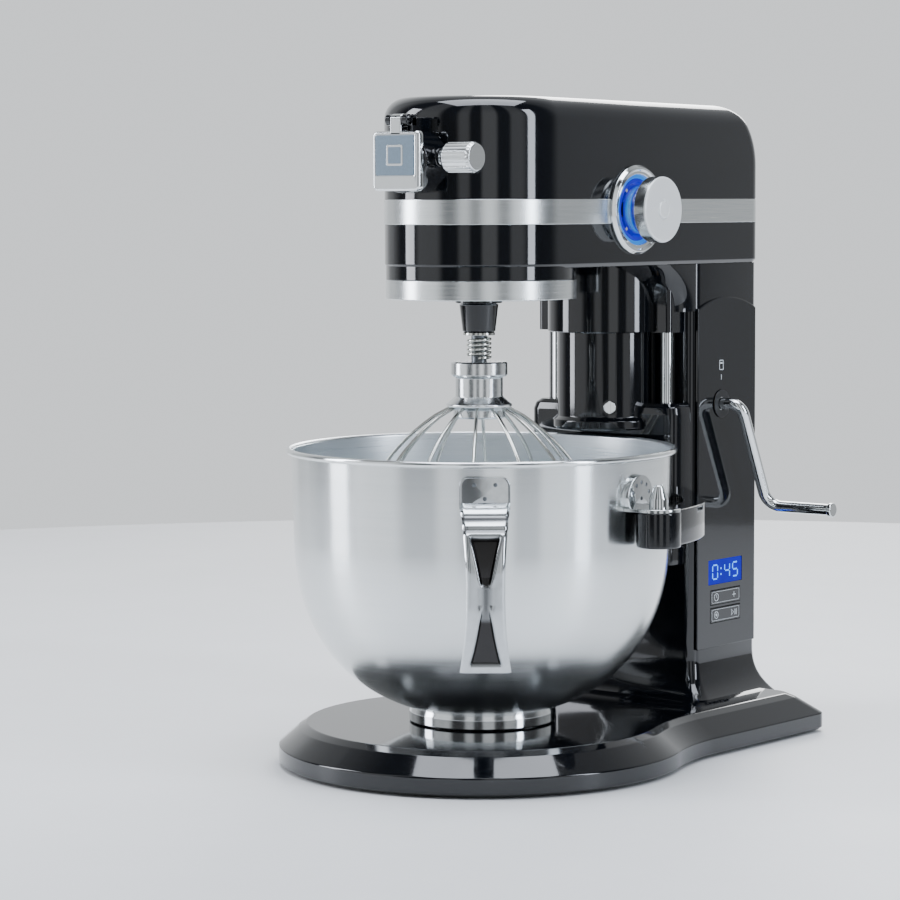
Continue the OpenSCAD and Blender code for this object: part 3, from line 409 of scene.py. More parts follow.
def pressed_steel():
    """Pressed stainless of the handle and lugs, polished after forming: slightly uneven mirror."""
    def build(tree):
        press = grain(tree, 160, 2)
        return {"Base_Color": tinted(tree, press, "#cfd3d5", "#e4e7e8"), "Roughness": ranged(tree, press, 0.07, 0.13),
                "Normal": relief(tree, press, 0.00003, 0.3)}
    return finish("pressed_polished_stainless", {"Metallic": 1.0}, build)


def pressed_strap():
    """Stainless of the bowl's handle: polished on its ridges, with painted shade in its pressed hollows and folds,
    where dark grey is mixed into the colour and the roughness rises.
    """
    def build(tree):
        # painted shade: the hollow attribute mixes dark grey into the colour in the pressed hollows and folds, where
        # shade falls
        deep = add(tree, "Attribute", {"attribute_name": "hollow"}).outputs["Fac"]
        press = grain(tree, 160, 2)
        tone = add(tree, "Mix", {"data_type": "RGBA", 7: linear("#3c3b3b")}, _0=deep,
                   _6=tinted(tree, press, "#b9bdc0", "#d3d7d9")).outputs[2]
        return {"Base_Color": tone, "Roughness": ranged(tree, deep, 0.12, 0.3),
                "Normal": relief(tree, press, 0.00003, 0.3)}
    return finish("strap_stainless_painted_hollow_shade", {"Metallic": 1.0}, build)


def chrome_plate():
    """Bright chrome on a polished casting: a near mirror with faint smears."""
    def build(tree):
        smear = grain(tree, 60, 3)
        return {"Base_Color": tinted(tree, smear, "#dde1e3", "#eceff0"), "Roughness": ranged(tree, smear, 0.03, 0.08)}
    return finish("bright_chrome", {"Metallic": 1.0}, build)


def turned_aluminium():
    """Bar aluminium turned on a lathe and bead-finished: soft grey-white with fine tool marks."""
    def build(tree):
        marks = grain(tree, 1.0, 2, (900, 60, 900))
        return {"Base_Color": tinted(tree, marks, "#dce0e2", "#eff1f1"), "Roughness": ranged(tree, marks, 0.14, 0.24),
                "Normal": relief(tree, marks, 0.00001, 0.3)}
    return finish("turned_aluminium", {"Metallic": 1.0}, build)


def spun_aluminium_face():
    """Face of the dial, spun under abrasive: near white, with fine rings about the dial's axis."""
    def build(tree):
        _, y, z = (pivot("speed_dial_turn") + AXIS) * MM
        where = add(tree, "TexCoord").outputs["Object"]
        centred = add(tree, "Mapping", {"Location": (0, -y, -z)}, Vector=where)
        flat = add(tree, "VectorMath", {"operation": "MULTIPLY", 1: (0, 1, 1)}, _0=centred.outputs["Vector"])
        rings = add(tree, "VectorMath", {"operation": "LENGTH"}, _0=flat.outputs["Vector"])
        wave = add(tree, "Math", {"operation": "MULTIPLY", 1: 9000.0}, _0=rings.outputs["Value"])
        sine = add(tree, "Math", {"operation": "SINE"}, _0=wave.outputs["Value"]).outputs["Value"]
        return {"Base_Color": tinted(tree, sine, "#eceff0", "#fbfcfc"), "Roughness": ranged(tree, sine, 0.34, 0.42)}
    return finish("spun_aluminium", {"Metallic": 0.35}, build)


def spring_wire():
    """Drawn steel wire, bright and slightly yellowed by oil."""
    def build(tree):
        drawn = grain(tree, 420, 2)
        return {"Base_Color": tinted(tree, drawn, "#b7b9b4", "#e2e3de"), "Roughness": ranged(tree, drawn, 0.1, 0.22)}
    return finish("drawn_steel_wire", {"Metallic": 1.0}, build)


def machined_steel():
    """Hobbed and turned gear steel, dark and oily, with tool marks every millimetre or so."""
    def build(tree):
        marks = grain(tree, 900, 3)
        return {"Base_Color": tinted(tree, marks, "#55595d", "#7d8286"), "Roughness": ranged(tree, marks, 0.25, 0.42),
                "Normal": relief(tree, marks, 0.00002, 0.4)}
    return finish("machined_gear_steel", {"Metallic": 1.0}, build)


def sintered_bronze():
    """Sintered bronze bushes: warm, dull and pitted with pores drawn at 0.6 mm."""
    def build(tree):
        pores = grain(tree, 1600, 2)
        return {"Base_Color": tinted(tree, pores, "#8a6a38", "#b9935a"), "Roughness": ranged(tree, pores, 0.35, 0.55),
                "Normal": relief(tree, pores, 0.00003, 0.5)}
    return finish("sintered_bronze", {"Metallic": 1.0}, build)


def soft_rubber():
    """Nitrile rubber: matt charcoal with a faint bloom."""
    def build(tree):
        bloom = grain(tree, 240, 3)
        return {"Base_Color": tinted(tree, bloom, "#131415", "#202122"), "Roughness": ranged(tree, bloom, 0.65, 0.85),
                "Normal": relief(tree, bloom, 0.00004, 0.4)}
    return finish("nitrile_rubber", {"IOR": 1.5}, build)


def inset_enamel():
    """Stoved blue-grey enamel in the hub cover's pocket: satin, with a fine fleck."""
    def build(tree):
        fleck = grain(tree, 900, 2)
        return {"Base_Color": tinted(tree, fleck, "#5f7280", "#74889a"), "Roughness": ranged(tree, fleck, 0.28, 0.4)}
    return finish("stoved_blue_grey_enamel", {"IOR": 1.5}, build)


def laminate():
    """Green solder mask over glass laminate, with the weave showing through at 0.5 mm."""
    def build(tree):
        weave = grain(tree, 2000, 2)
        return {"Base_Color": tinted(tree, weave, "#0f3d22", "#1b5e35"), "Roughness": ranged(tree, weave, 0.3, 0.45)}
    return finish("green_circuit_laminate", {"IOR": 1.55}, build)


def lit_blue_screen():
    """Back-lit blue display film: saturated blue, a little uneven from its side lamps."""
    def build(tree):
        patch = grain(tree, 90, 2)
        return {"Emission_Color": tinted(tree, patch, "#0002b0", "#0008e0")}
    return finish("backlit_blue_film", {"Base Color": linear("#020438"), "Roughness": 0.45,
                                        "Specular IOR Level": 0.1, "Emission Strength": 0.9},
                  build)


def lit_digit():
    """Lit cells of the display: pale cyan-blue light."""
    return finish("lit_display_cell", {"Base Color": linear("#123a9c"), "Roughness": 0.4,
                                       "Emission Color": linear("#4a9cff"), "Emission Strength": 2.2})


def light_guide(name, dark, light, strength):
    """Clear acrylic light guide, lit from behind: brightest at its lamps."""
    def build(tree):
        lamp = grain(tree, 70, 1)
        return {"Emission_Color": tinted(tree, lamp, dark, light)}
    clear = {"Base Color": linear("#020a30"), "Roughness": 0.3, "IOR": 1.35}
    return finish(name, clear | {"Emission Strength": strength}, build)


def pale_print():
    """Pad-printed silver-white ink on the enamel, with a faint painted glow that keeps it bright whatever the light.
    """
    def build(tree):
        ink = grain(tree, 1500, 2)
        return {"Base_Color": tinted(tree, ink, "#b9c2c9", "#e9eef1")}
    # painted glow: the ink emits a little light of its own, though it is no lamp
    return finish("silver_white_ink_painted_glow", {"Roughness": 0.45, "Emission Color": linear("#c9d3da"),
                                       "Emission Strength": 0.12}, build)


ENAMEL = black_enamel()
NYLON = satin_black()
STRIP = brushed_band_steel()
BOWL_OUT = bowl_outside_steel()
BOWL_IN = bowl_inside_steel()
PRESSED = pressed_steel()
STRAP_PAINTED_SHADE = pressed_strap()
CHROME = chrome_plate()
ALUMINIUM = turned_aluminium()
DIAL_FACE = spun_aluminium_face()
WIRE = spring_wire()
GEAR = machined_steel()
BRONZE = sintered_bronze()
RUBBER = soft_rubber()
INSET = inset_enamel()
LAMINATE = laminate()
SCREEN = lit_blue_screen()
DIGIT = lit_digit()
GLOW = light_guide("lit_cyan_acrylic", "#0064ff", "#00a8ff", 0.95)
DEEP_GLOW = light_guide("lit_blue_acrylic", "#0000c0", "#0004ff", 0.8)
PRINT = pale_print()

SLOT_FINISH = {
    "gloss_black": ENAMEL, "soft_black": NYLON, "brushed_band": STRIP, "bowl_steel": BOWL_OUT, "chrome": CHROME,
    "brushed_aluminium": ALUMINIUM, "gear_steel": GEAR, "bronze": BRONZE, "rubber": RUBBER,
    "inset_blue_grey": INSET, "display": SCREEN, "light_blue": GLOW, "circuit": LAMINATE}


def dress_cad_nodes():
    """Gives every CAD node the finish of its slot in the record; its mesh stays as it is."""
    for row in frame["record"]["subparts"]:
        slots = nodes[row["node"]].material_slots
        for slot in slots:
            slot.material = SLOT_FINISH[row["material_slot"]]


# ---------------------------------------------------------------- base

BASE_FRONT_R = -span("base_casting", "y")[0]
BASE_REAR_Y = span("base_casting", "y")[1]
BASE_LOW = span("base_casting", "z")[0]
BASE_TOP = span("bowl_foot", "z")[0] - 0.6
WAIST_Y, WAIST_HALF, REAR_HALF = 100, 116, span("base_casting", "x")[1]
FLARE_TOP = span("column_casting", "z")[0]


def base_plan(inset):
    """The base's outline moved inwards: a round front about the bowl, an arc that curves in to the waist on each
    side, and straight sides that widen to the two rounded rear corners."""
    radius = (WAIST_Y ** 2 / (BASE_FRONT_R - WAIST_HALF) - BASE_FRONT_R - WAIST_HALF) / 2
    turn = math.degrees(math.atan2(WAIST_Y, WAIST_HALF + radius))
    half = np.vstack([
        arc(0, 0, BASE_FRONT_R - inset, -90, turn, 64),
        arc(WAIST_HALF + radius, WAIST_Y, radius + inset, 180 + turn, 180, 24)[1:],
        arc(120 - inset - 12, BASE_REAR_Y - inset - 12, 12, 0, 90, 10)])
    return np.vstack([half, half[:0:-1] * [-1, 1]])


def make_base():
    """The base is its outline stacked up a profile of (inset, height) with a slanted shoulder; the foot of the
    column swells out of it by the cube of the share of the way down."""
    profile = rounded([(1.4, BASE_LOW), (0, BASE_LOW + 1.4), (0, 9.6), (13.2, 20.9), (18.5, BASE_TOP),
                       (21, BASE_TOP), (22, BASE_TOP)], [0, 0.5, 1.6, 4, 3, 0, 0], 6)
    slab_rings = [at_z(base_plan(d), z) for d, z in profile]
    flare = []
    for t in np.linspace(0, 1, 22):
        f = (1 - t) ** 3
        flare.append(at_z(plan(61 + 34 * f, 156.5 - 30 * f, 236, 8 + 10 * f, 6), 14 + (FLARE_TOP - 14) * t))
    piece("base_shell", "stand", [skin(slab_rings), skin(flare)], ENAMEL, ["base_casting"])


# ---------------------------------------------------------------- column

COLUMN_HALF, COLUMN_FRONT, COLUMN_REAR = 61, 156.5, 236
HEAD_UNDER = span("column_casting", "z")[1]
NECK_Y, NECK_R, NECK_BORE = 141, 40.5, 35.7
RAIL_X, RAIL_Y = span("guide_rails", "x")[1] - 4.5, 147
FACE_X = span("control_panel", "x")[1]
COVER_Y = span("control_panel", "y")
COVER_Z = span("control_panel", "z")
KEY_Y = (span("timer_key", "y")[0] + span("timer_key", "y")[1]) / 2
LEVER = pivot("lift_lever")


def cylinder(x, y, z0, z1, r, n=64):
    """An upright cylinder."""
    return skin([at_z(arc(x, y, r, 0, 360 - 360 / n, n), z) for z in (z0, z1)])


def cut_disc(r, y, back):
    """Outline of a disc about (0, y) of which everything behind y = back is cut off."""
    lean = math.degrees(math.asin(min(1, (back - y) / r)))
    return arc(0, y, r, -180 - lean, lean, 72)


def prism(outline, low, high):
    """An outline in XY pulled straight up."""
    return skin([at_z(outline, low), at_z(outline, high)])


def cuboid(x, y, z):
    """A plain box, used to cut with."""
    return prism(np.array([(x[0], y[0]), (x[1], y[0]), (x[1], y[1]), (x[0], y[1])], float), *z)


def make_column():
    """The column is an upright box with round corners. Above the rails its front swells forward to the head by a
    power of the height, round the neck that the bowl carriage slides up into."""
    tall = prism(plan(COLUMN_HALF, COLUMN_FRONT, COLUMN_REAR, 8, 6), FLARE_TOP, HEAD_UNDER)
    column = piece("column_shell", "stand", [tall], ENAMEL, ["column_casting"])
    cut(column,
        prism(plan(56, 161.5, 231, 4, 4), FLARE_TOP + 10, 310), cuboid((-14, 14), (150, 170), (186, 300)),
        cuboid((55, 62), (KEY_Y - 27, KEY_Y + 27), (66, 121)),
        towards_x(cylinder(0, 0, 0, 20, 9.05), 49, LEVER[1], LEVER[2]))
    share = np.linspace(0, 1, 18)
    shoulder = piece("column_shoulder", "stand", [skin(
        [at_z(plan(COLUMN_HALF, 136.5 - 28 * t ** 2.4, 160.5, 20, 2, 12), 288 + (HEAD_UNDER - 288) * t)
         for t in share])], ENAMEL)
    cut(shoulder, prism(cut_disc(NECK_BORE, NECK_Y, 156.3), 280, 325))
    ears = [block((s * RAIL_X - 9.5, s * RAIL_X + 9.5), (RAIL_Y - 11, 158), (274, HEAD_UNDER), 3) for s in (-1, 1)]
    sleeves = piece("rail_sockets", "stand", ears, ENAMEL)
    cut(sleeves, *(cylinder(s * RAIL_X, RAIL_Y, 260, 299.5, 4.6, 32) for s in (-1, 1)),
        prism(cut_disc(NECK_BORE, NECK_Y, 156.3), 270, 325))
    turn = np.radians(np.linspace(-203, 23, 96))
    section = np.array([(NECK_R, 274.6), (NECK_R, HEAD_UNDER - 0.5), (NECK_BORE, HEAD_UNDER - 0.5),
                        (NECK_BORE, 274), (NECK_R - 0.6, 274)])
    sleeve = skin(np.stack([np.outer(np.cos(turn), section[:, 0]), NECK_Y + np.outer(np.sin(turn), section[:, 0]),
                            np.repeat(section[None, :, 1], len(turn), 0)], -1))
    feet = [block((s * RAIL_X - 9, s * RAIL_X + 9), (RAIL_Y - 8, 157), (116, 129), 2) for s in (-1, 1)]
    neck_item = piece("neck_sleeve", "stand", [sleeve, *feet], ENAMEL)
    cut(neck_item, *(cylinder(s * RAIL_X, RAIL_Y, 110, 300, 4.6, 32) for s in (-1, 1)))
    rods = [lathe(rounded([(0, 115), (4.5, 115), (4.5, 299), (0, 299)], 0.6, 4), (s * RAIL_X, RAIL_Y, 0), 48)
            for s in (-1, 1)]
    piece("ground_rails", "stand", rods, CHROME, ["guide_rails"])


def arch_outline():
    """Outline of a side cover as (y, z): straight sides under a flat arch."""
    middle_y = sum(COVER_Y) / 2
    half = (COVER_Y[1] - COVER_Y[0]) / 2
    lean = math.degrees(math.asin(half / 85))
    arch = arc(middle_y, COVER_Z[1] - 85, 85, 90 - lean, 90 + lean, 33)
    corners = np.vstack([[(COVER_Y[0], COVER_Z[0]), (COVER_Y[1], COVER_Z[0])], arch])
    return rounded(corners, [1, 1, 2] + [0] * 31 + [2], 4, True, 0.1)


def on_face(outline, x, thick, edge=0.4):
    """A flat slab from an outline given as (y, z), standing on a face of constant x and facing +X."""
    part = slab(outline, 0, thick, edge)
    return turned(part, Matrix(((0, 0, 1, x), (1, 0, 0, 0), (0, 1, 0, 0), (0, 0, 0, 1))))


def rectangle(y, z, width, height, r, n=6):
    """A rounded rectangle about (y, z)."""
    w, h = width / 2, height / 2
    return rounded([(y - w, z - h), (y + w, z - h), (y + w, z + h), (y - w, z + h)], r, n, True)


def sides_mirrored(part):
    """A surface mirrored in x = 0."""
    vertices, faces = part
    return vertices * [-1, 1, 1], [face[::-1] for face in faces]


DIGIT_BARS = {"0": "abcdef", "4": "bcfg", "5": "acdfg"}


def digit_strokes(letter, y, z, width, height, x):
    """Bars of a seven-bar digit: a is the top bar, b to f run round it and g is the middle bar."""
    w, h = width / 2, height / 2
    bars = {"a": ((-w, h), (w, h)), "b": ((w, h), (w, 0)), "c": ((w, 0), (w, -h)), "d": ((-w, -h), (w, -h)),
            "e": ((-w, -h), (-w, 0)), "f": ((-w, 0), (-w, h)), "g": ((-w, 0), (w, 0))}
    out = []
    for bar in DIGIT_BARS[letter]:
        (y0, z0), (y1, z1) = bars[bar]
        ends = np.array([(y0, z0), (y1, z1)])
        gap = (ends[1] - ends[0]) * 0.12
        out.append(stroke([ends[0] + gap + (y, z), ends[1] - gap + (y, z)], 1.0, x))
    return out


def ring_stroke(y, z, r, width, x, start=0, end=360):
    """A printed ring or part of one."""
    whole = end - start >= 360
    return stroke(arc(y, z, r, start, end - (15 if whole else 0), 24), width, x, whole)


def make_panels():
    """Side covers, and on the right one the timer's display, two rocking keys and their printed signs."""
    left = sides_mirrored(on_face(arch_outline(), COLUMN_HALF, FACE_X - COLUMN_HALF, 0.7))
    piece("left_cover", "stand", [left], ENAMEL, ["left_side_cover"])
    panel = piece("timer_cover", "stand", [on_face(arch_outline(), COLUMN_HALF, FACE_X - COLUMN_HALF, 0.7)],
                  ENAMEL, ["control_panel"])
    low_key, high_key = (sum(span(k, "z")) / 2 for k in ("start_key", "timer_key"))
    screen_z = span("control_panel", "z")[0] + 52
    cut(panel, towards_x(cylinder(0, 0, 0, 8, 9.2), 58, LEVER[1], LEVER[2]),
        *(on_face(rectangle(KEY_Y, z, 37.8, 10.8, 0.6), 58, 8) for z in (low_key, high_key)),
        on_face(rectangle(KEY_Y, screen_z, 42, 17, 0.4), 58, 8))
    x = span("display_module", "x")[1]
    glass = on_face(rectangle(KEY_Y, screen_z, 41.6, 16.6, 0.8), x - 3, 3, 0.2)
    digits = [s for letter, dy in (("0", -12.5), ("4", 2.5), ("5", 12.5))
              for s in digit_strokes(letter, KEY_Y + dy, screen_z, 6.2, 9.6, x)]
    dots = [on_face(rectangle(KEY_Y - 5.2, screen_z + dz, 1.3, 1.3, 0.3), x - 0.1, 0.25, 0.1) for dz in (-2, 2)]
    piece("timer_screen", "stand", [glass, *digits, *dots], [SCREEN] + [DIGIT] * (len(digits) + 2),
          ["display_module"])
    signs = {"timer": key_clock, "start": key_play}
    for name, z in (("timer", high_key), ("start", low_key)):
        top = span(name + "_key", "x")[1]
        cap = on_face(rectangle(KEY_Y, z, 37, 10, 0.8), COLUMN_HALF, top - COLUMN_HALF, 0.5)
        line = stroke(rectangle(KEY_Y, z, 34, 7.6, 1.2), 0.22, top, True, 0.05)
        marks = signs[name](z, top)
        piece(name + "_rocker_cap", name + "_rocker", [cap, line, *marks],
              [ENAMEL] + [PRINT] * (len(marks) + 1), [name + "_key"])
    lock = [stroke(rectangle(188, 250.5, 4.6, 6.4, 0.7), 0.45, FACE_X, True),
            stroke([(186.6, 251.8), (189.4, 251.8)], 0.9, FACE_X), stroke([(188, 240.5), (188, 244)], 0.5, FACE_X)]
    piece("lift_signs", "stand", lock, PRINT)


def key_clock(z, x):
    """A clock face at one end of the key, and plus and minus bars at the other."""
    y = KEY_Y - 11.5
    return [ring_stroke(y, z, 2.5, 0.4, x), stroke([(y, z + 1.6), (y, z), (y + 1.2, z)], 0.35, x),
            stroke([(KEY_Y + 8.5, z), (KEY_Y + 12.5, z)], 0.45, x),
            stroke([(KEY_Y + 10.5, z - 2), (KEY_Y + 10.5, z + 2)], 0.45, x)]


def key_play(z, x):
    """A ring with a dot at one end of the key, and a play triangle with two pause bars at the other."""
    y = KEY_Y + 9.5
    return [ring_stroke(KEY_Y - 11.5, z, 2.3, 0.4, x), ring_stroke(KEY_Y - 11.5, z, 0.7, 0.5, x),
            stroke([(y - 2, z - 2), (y + 0.8, z), (y - 2, z + 2)], 0.45, x, True),
            stroke([(y + 2.4, z - 2), (y + 2.4, z + 2)], 0.55, x), stroke([(y + 4, z - 2), (y + 4, z + 2)], 0.55, x)]


# ---------------------------------------------------------------- head

HEAD_HALF, HEAD_REAR = 62.5, span("head_casting", "y")[1]
BAND_Z = span("upper_trim_band", "z")
CREST = span("head_top_cover", "z")[1]
HUB_Z = 388
KNOB = pivot("speed_dial_turn")
EDGE_R, REAR_EDGE_R, FALL = 14, 42, 2


def head_plan(inset, rear):
    """Outline of the head moved inwards: a half-round nose and two round rear corners."""
    r = 14 - inset / 2
    return np.vstack([arc(0, 0, HEAD_HALF - inset, 180, 360, 72),
                      arc(HEAD_HALF - inset - r, rear - r, r, 0, 90, 12),
                      arc(r - HEAD_HALF + inset, rear - r, r, 90, 180, 12)])


def head_rings(wall, low):
    """The head's top, moved inwards by its wall: its outline goes in by a quarter circle at the edge, a wider one
    at the rear, and everything falls a little towards the rear in proportion to its height."""
    top = CREST - wall
    def inward(z, r):
        return 0 if z < top - r else r - math.sqrt(max(0, r * r - (z - top + r) ** 2))
    levels = [low, low + 0.4] + [top - REAR_EDGE_R * (1 - math.sin(a)) for a in np.radians(np.linspace(0, 90, 31))]
    rings = []
    for z in levels:
        outline = head_plan(wall + inward(z, EDGE_R - wall), HEAD_REAR - wall - inward(z, REAR_EDGE_R))
        drop = FALL * (outline[:, 1] + HEAD_HALF) / (HEAD_REAR + HEAD_HALF) * (z - BAND_Z[1]) / (CREST - BAND_Z[1])
        rings.append(at_z(outline, z - drop))
    last = rings[-1]
    rings.append(last + (last.mean(0) - last) * 0.012)
    return rings


def knob_hole():
    """The room in the head's side for the dial's seat."""
    return towards_x(cylinder(0, 0, 0, 40, 25.05, 96), HEAD_HALF - 14, KNOB[1], KNOB[2])


def make_head():
    """Casting, steel band, top cover and the bright ring round the mixing head."""
    cover = piece("head_cover", "stand", [skin(head_rings(3.5, BAND_Z[1])[::-1] + head_rings(0, BAND_Z[1]))],
                  ENAMEL, ["head_top_cover"], 30)
    cut(cover, knob_hole(), towards_front(cylinder(0, 0, 0, 40, 20.05, 96), 0, -45, HUB_Z), sharp=30)
    profile = rounded([(5, HEAD_UNDER), (1.6, HEAD_UNDER), (0, HEAD_UNDER + 2.6), (0, BAND_Z[0]), (1, BAND_Z[0])],
                      [0, 1.2, 1.6, 0, 0], 5)
    lower = piece("head_body", "stand", [skin([at_z(head_plan(d, HEAD_REAR - d), z) for d, z in profile])],
                  ENAMEL, ["head_casting"])
    cut(lower, cuboid((-57, 57), (64, 236), (326, 352)), cylinder(0, 0, 300, 342, 57.6, 128),
        cylinder(0, 0, 340, 360, 11.05), knob_hole())
    collar = rounded([(57.6, 312.5), (61.8, 312.5), (61.8, 324), (57.6, 324)], 0.4, 4, True)
    piece("mixing_head_collar", "stand", [lathe(collar, n=144, ends="joined")], ENAMEL)
    strip = rounded([(2.5, BAND_Z[0]), (-0.2, BAND_Z[0]), (-0.2, BAND_Z[1]), (2.5, BAND_Z[1])], 0.35, 4, True, 0.2)
    band = piece("head_band", "stand",
                 [skin([at_z(head_plan(d, HEAD_REAR - max(0, d)), z) for d, z in strip], "joined")],
                 STRIP, ["upper_trim_band"])
    cut(band, knob_hole())
    ring = rounded([(58.6, 300), (61.8, 300), (61.8, 312.5), (58.6, 312.5)], 0.5, 4, True)
    piece("mixing_head_ring", "stand", [lathe(ring, n=144, ends="joined")], STRIP,
          ["lower_trim_ring"])


# ---------------------------------------------------------------- attachment hub

COVER_FRONT, COVER_FACE, LIP = -82.6, -87.5, 9.5
HINGE = pivot("hub_cover_hinge")


def make_hub():
    """Hub barrel with its hinge ears, the square cover with a sunk enamelled plate, and the fluted clamp knob."""
    barrel = rounded([(13.75, 46), (20, 46), (20, 82), (13.75, 82)], [0.1, 0.1, 1.6, 0.8], 6, True)
    shell = towards_front(lathe(barrel, n=96, ends="joined"), 0, 0, HUB_Z)
    ears = []
    for x in (-8.5, 4.5):
        knuckle = lathe(rounded([(0, 0), (3.6, 0), (3.6, 4), (0, 4)], 0.4, 4), n=40)
        ears += [block((x, x + 4), (-81.5, -62), (HINGE[2] - 10, HINGE[2] + 1.5)),
                 towards_x(knuckle, x, HINGE[1], HINGE[2]),
                 block((x, x + 4), (HINGE[1], HINGE[1] + 8), (HINGE[2] - 3.6, HINGE[2] + 3.6), 1)]
    saddle = block((-8, 8), (-81, -62), (HUB_Z + 14, HINGE[2] - 4), 1.5)
    boss = towards_x(lathe(rounded([(2.6, 0), (6, 0), (6, 9), (2.6, 9)], 0.5, 4, True), n=48, ends="joined"),
                     14, -70, HUB_Z + 2)
    hub = piece("hub_barrel", "stand", [shell, saddle, boss, *ears], ENAMEL, ["hub_housing"])
    cut(hub, towards_x(cylinder(0, 0, -10, 10, 1.55, 24), 0, HINGE[1], HINGE[2]),
        towards_front(cylinder(0, 0, 40, 84, 13.7, 96), 0, 0, HUB_Z))
    make_hub_cover()
    make_clamp_knob()


def make_hub_cover():
    """A rounded square plate with a sunk pocket, hung from a knuckle, and its enamelled inset with a blank badge."""
    half = span("hub_cover", "x")[1]
    def square(inset, z):
        s = half - inset
        return at_z(rounded([(-s, -s), (s, -s), (s, s), (-s, s)], 3 - inset / 2, 7, True), z)
    def pocket(inset, z):
        low_x, high_x = -half + 2.5 + inset, half - 3.5 - inset
        low_y, high_y = -half + LIP + inset, half - 2.5 - inset
        return at_z(rounded([(low_x, low_y), (high_x, low_y), (high_x, high_y), (low_x, high_y)], 1.2, 7, True), z)
    deep = COVER_FRONT - COVER_FACE
    rings = [square(0.5, 0), square(0, 0.5), square(0, deep - 1.6), square(0.25, deep - 0.8), square(0.8, deep - 0.2),
             square(1.3, deep), square(1.6, deep), pocket(-0.5, deep), pocket(-0.2, deep - 0.05),
             pocket(0, deep - 0.3), pocket(0, deep - 1.4), pocket(0.4, deep - 1.4)]
    plate = towards_front(skin(rings), 0, COVER_FRONT, HUB_Z)
    knuckle = lathe(rounded([(1.55, -4.2), (3.6, -4.2), (3.6, 4.2), (1.55, 4.2)], 0.4, 4, True), n=40, ends="joined")
    leaf = block((-4.2, 4.2), (HINGE[1] - 3.5, HINGE[1] - 1.7), (HUB_Z + half - 2, HINGE[2] + 0.5), 0.5)
    piece("hub_door_plate", "hub_door", [plate, towards_x(knuckle, 0, HINGE[1], HINGE[2]), leaf], CHROME,
          ["hub_cover"])
    low_x, high_x = span("hub_cover_inset", "x")
    low_z, high_z = span("hub_cover_inset", "z")
    low_z = HUB_Z - half + LIP + 0.1
    cx, cz, w, h = (low_x + high_x) / 2, (low_z + high_z) / 2, high_x - low_x, high_z - low_z
    inset = slab(rectangle(cx, cz - HUB_Z, w - 0.2, h - 0.2, 1.1, 7), 0, 1.55, 0.35)
    badge = slab(rectangle(cx, cz - HUB_Z, 13, 13, 1, 6), 1.5, 1.75, 0.12)
    field = slab(rectangle(cx, cz - HUB_Z, 10.4, 10.4, 0.6, 6), 1.7, 1.8, 0.05)
    front = span("hub_cover_inset", "y")[1]
    piece("hub_door_inset", "hub_door", [towards_front(p, 0, front, HUB_Z) for p in (inset, badge, field)],
          [INSET, CHROME, INSET], ["hub_cover_inset"])


def make_clamp_knob():
    """The clamp knob: a turned profile whose radius dips round it by a smooth wave where it is fluted."""
    profile = rounded([(0, 13.9), (2.5, 13.9), (2.5, 23.5), (5, 23.5), (5, 27), (8, 28), (9.6, 30), (9.6, 48.6),
                       (8.4, 51), (0, 51)], [0, 0.3, 0.3, 0.5, 0.5, 1.5, 0.9, 1.2, 1.0, 0], 5)
    angle = np.linspace(0, 2 * np.pi, 240, endpoint=False)
    along = profile[:, 1:2]
    fluted = np.clip((along - 29) / 1.6, 0, 1) * np.clip((49.6 - along) / 1.2, 0, 1)
    wave = np.clip(np.cos(20 * angle)[None], 0, 1) ** 0.7
    r = profile[:, :1] - 0.85 * fluted * wave
    rings = np.stack([r * np.cos(angle), r * np.sin(angle), np.broadcast_to(along, r.shape)], -1)
    piece("clamp_knob_body", "clamp_knob", [towards_x(skin(rings, "open"), 0, -70, HUB_Z + 2)], ALUMINIUM,
          ["hub_clamp_knob"])


# ---------------------------------------------------------------- speed dial

def on_dial(profile, n=128, ends="open"):
    """A profile of (radius, distance from the head's side) turned about the dial's axis."""
    return towards_x(lathe(profile, n=n, ends=ends), HEAD_HALF, KNOB[1], KNOB[2])


def make_dial():
    """Chrome bezel, light ring, waisted dial with a broad face, and its centre cap."""
    bezel = rounded([(23.2, 0.3), (25, 0.3), (29.3, 0.3), (29.3, 1.7), (27.5, 3.9), (26.3, 3.9), (25.3, 2.7),
                     (23.2, 2.7)], [0.3, 0, 0.3, 0.7, 0.7, 0.5, 0.5, 0.5], 5, True)
    cup = rounded([(5.2, -10), (25, -10), (25, 1), (23, 1), (23, -7), (5.2, -7)], 0.3, 4, True)
    piece("dial_bezel", "stand", [on_dial(bezel, ends="joined"), on_dial(cup, ends="joined")], CHROME,
          ["knob_bezel"])
    guide = rounded([(20.6, -6.9), (22.9, -6.9), (22.9, 1.6), (20.6, 1.6)], 0.6, 5, True)
    inner = rounded([(18, -6.9), (20.5, -6.9), (20.5, 1.2), (18, 1.2)], 0.5, 5, True)
    piece("dial_light", "stand", [on_dial(guide, ends="joined"), on_dial(inner, ends="joined")], [GLOW, DEEP_GLOW],
          ["light_ring"])
    r = span("speed_knob", "z")
    r = (r[1] - r[0]) / 2
    barrel = rounded([(0, -14), (3, -14), (3, 1.2), (16.5, 1.2), (16.2, 9), (r - 0.8, 12.3), (r, 13.6), (r, 21.2)],
                     [0, 0.2, 0.2, 0.5, 5, 1.5, 0.6, 0], 8)
    face = rounded([(r, 21.2), (r - 0.2, 22.2), (r - 1.6, 22.6), (6.5, 22.6), (6.2, 21.9), (5.6, 21.7), (0, 21.7)],
                   [0, 0.5, 0.8, 0.3, 0.2, 0.2, 0], 6)
    piece("dial_body", "speed_dial", [on_dial(barrel), on_dial(face)], [ALUMINIUM, DIAL_FACE],
          ["speed_knob"])
    cap = rounded([(0, 21.6), (5.5, 21.6), (5.5, 22.7), (4.8, 23.1), (0, 23.1)], [0, 0.1, 0.5, 0.5, 0], 5)
    piece("dial_cap", "speed_dial", [on_dial(cap, 72)], DIAL_FACE, ["knob_cap"])


# ---------------------------------------------------------------- lift lever

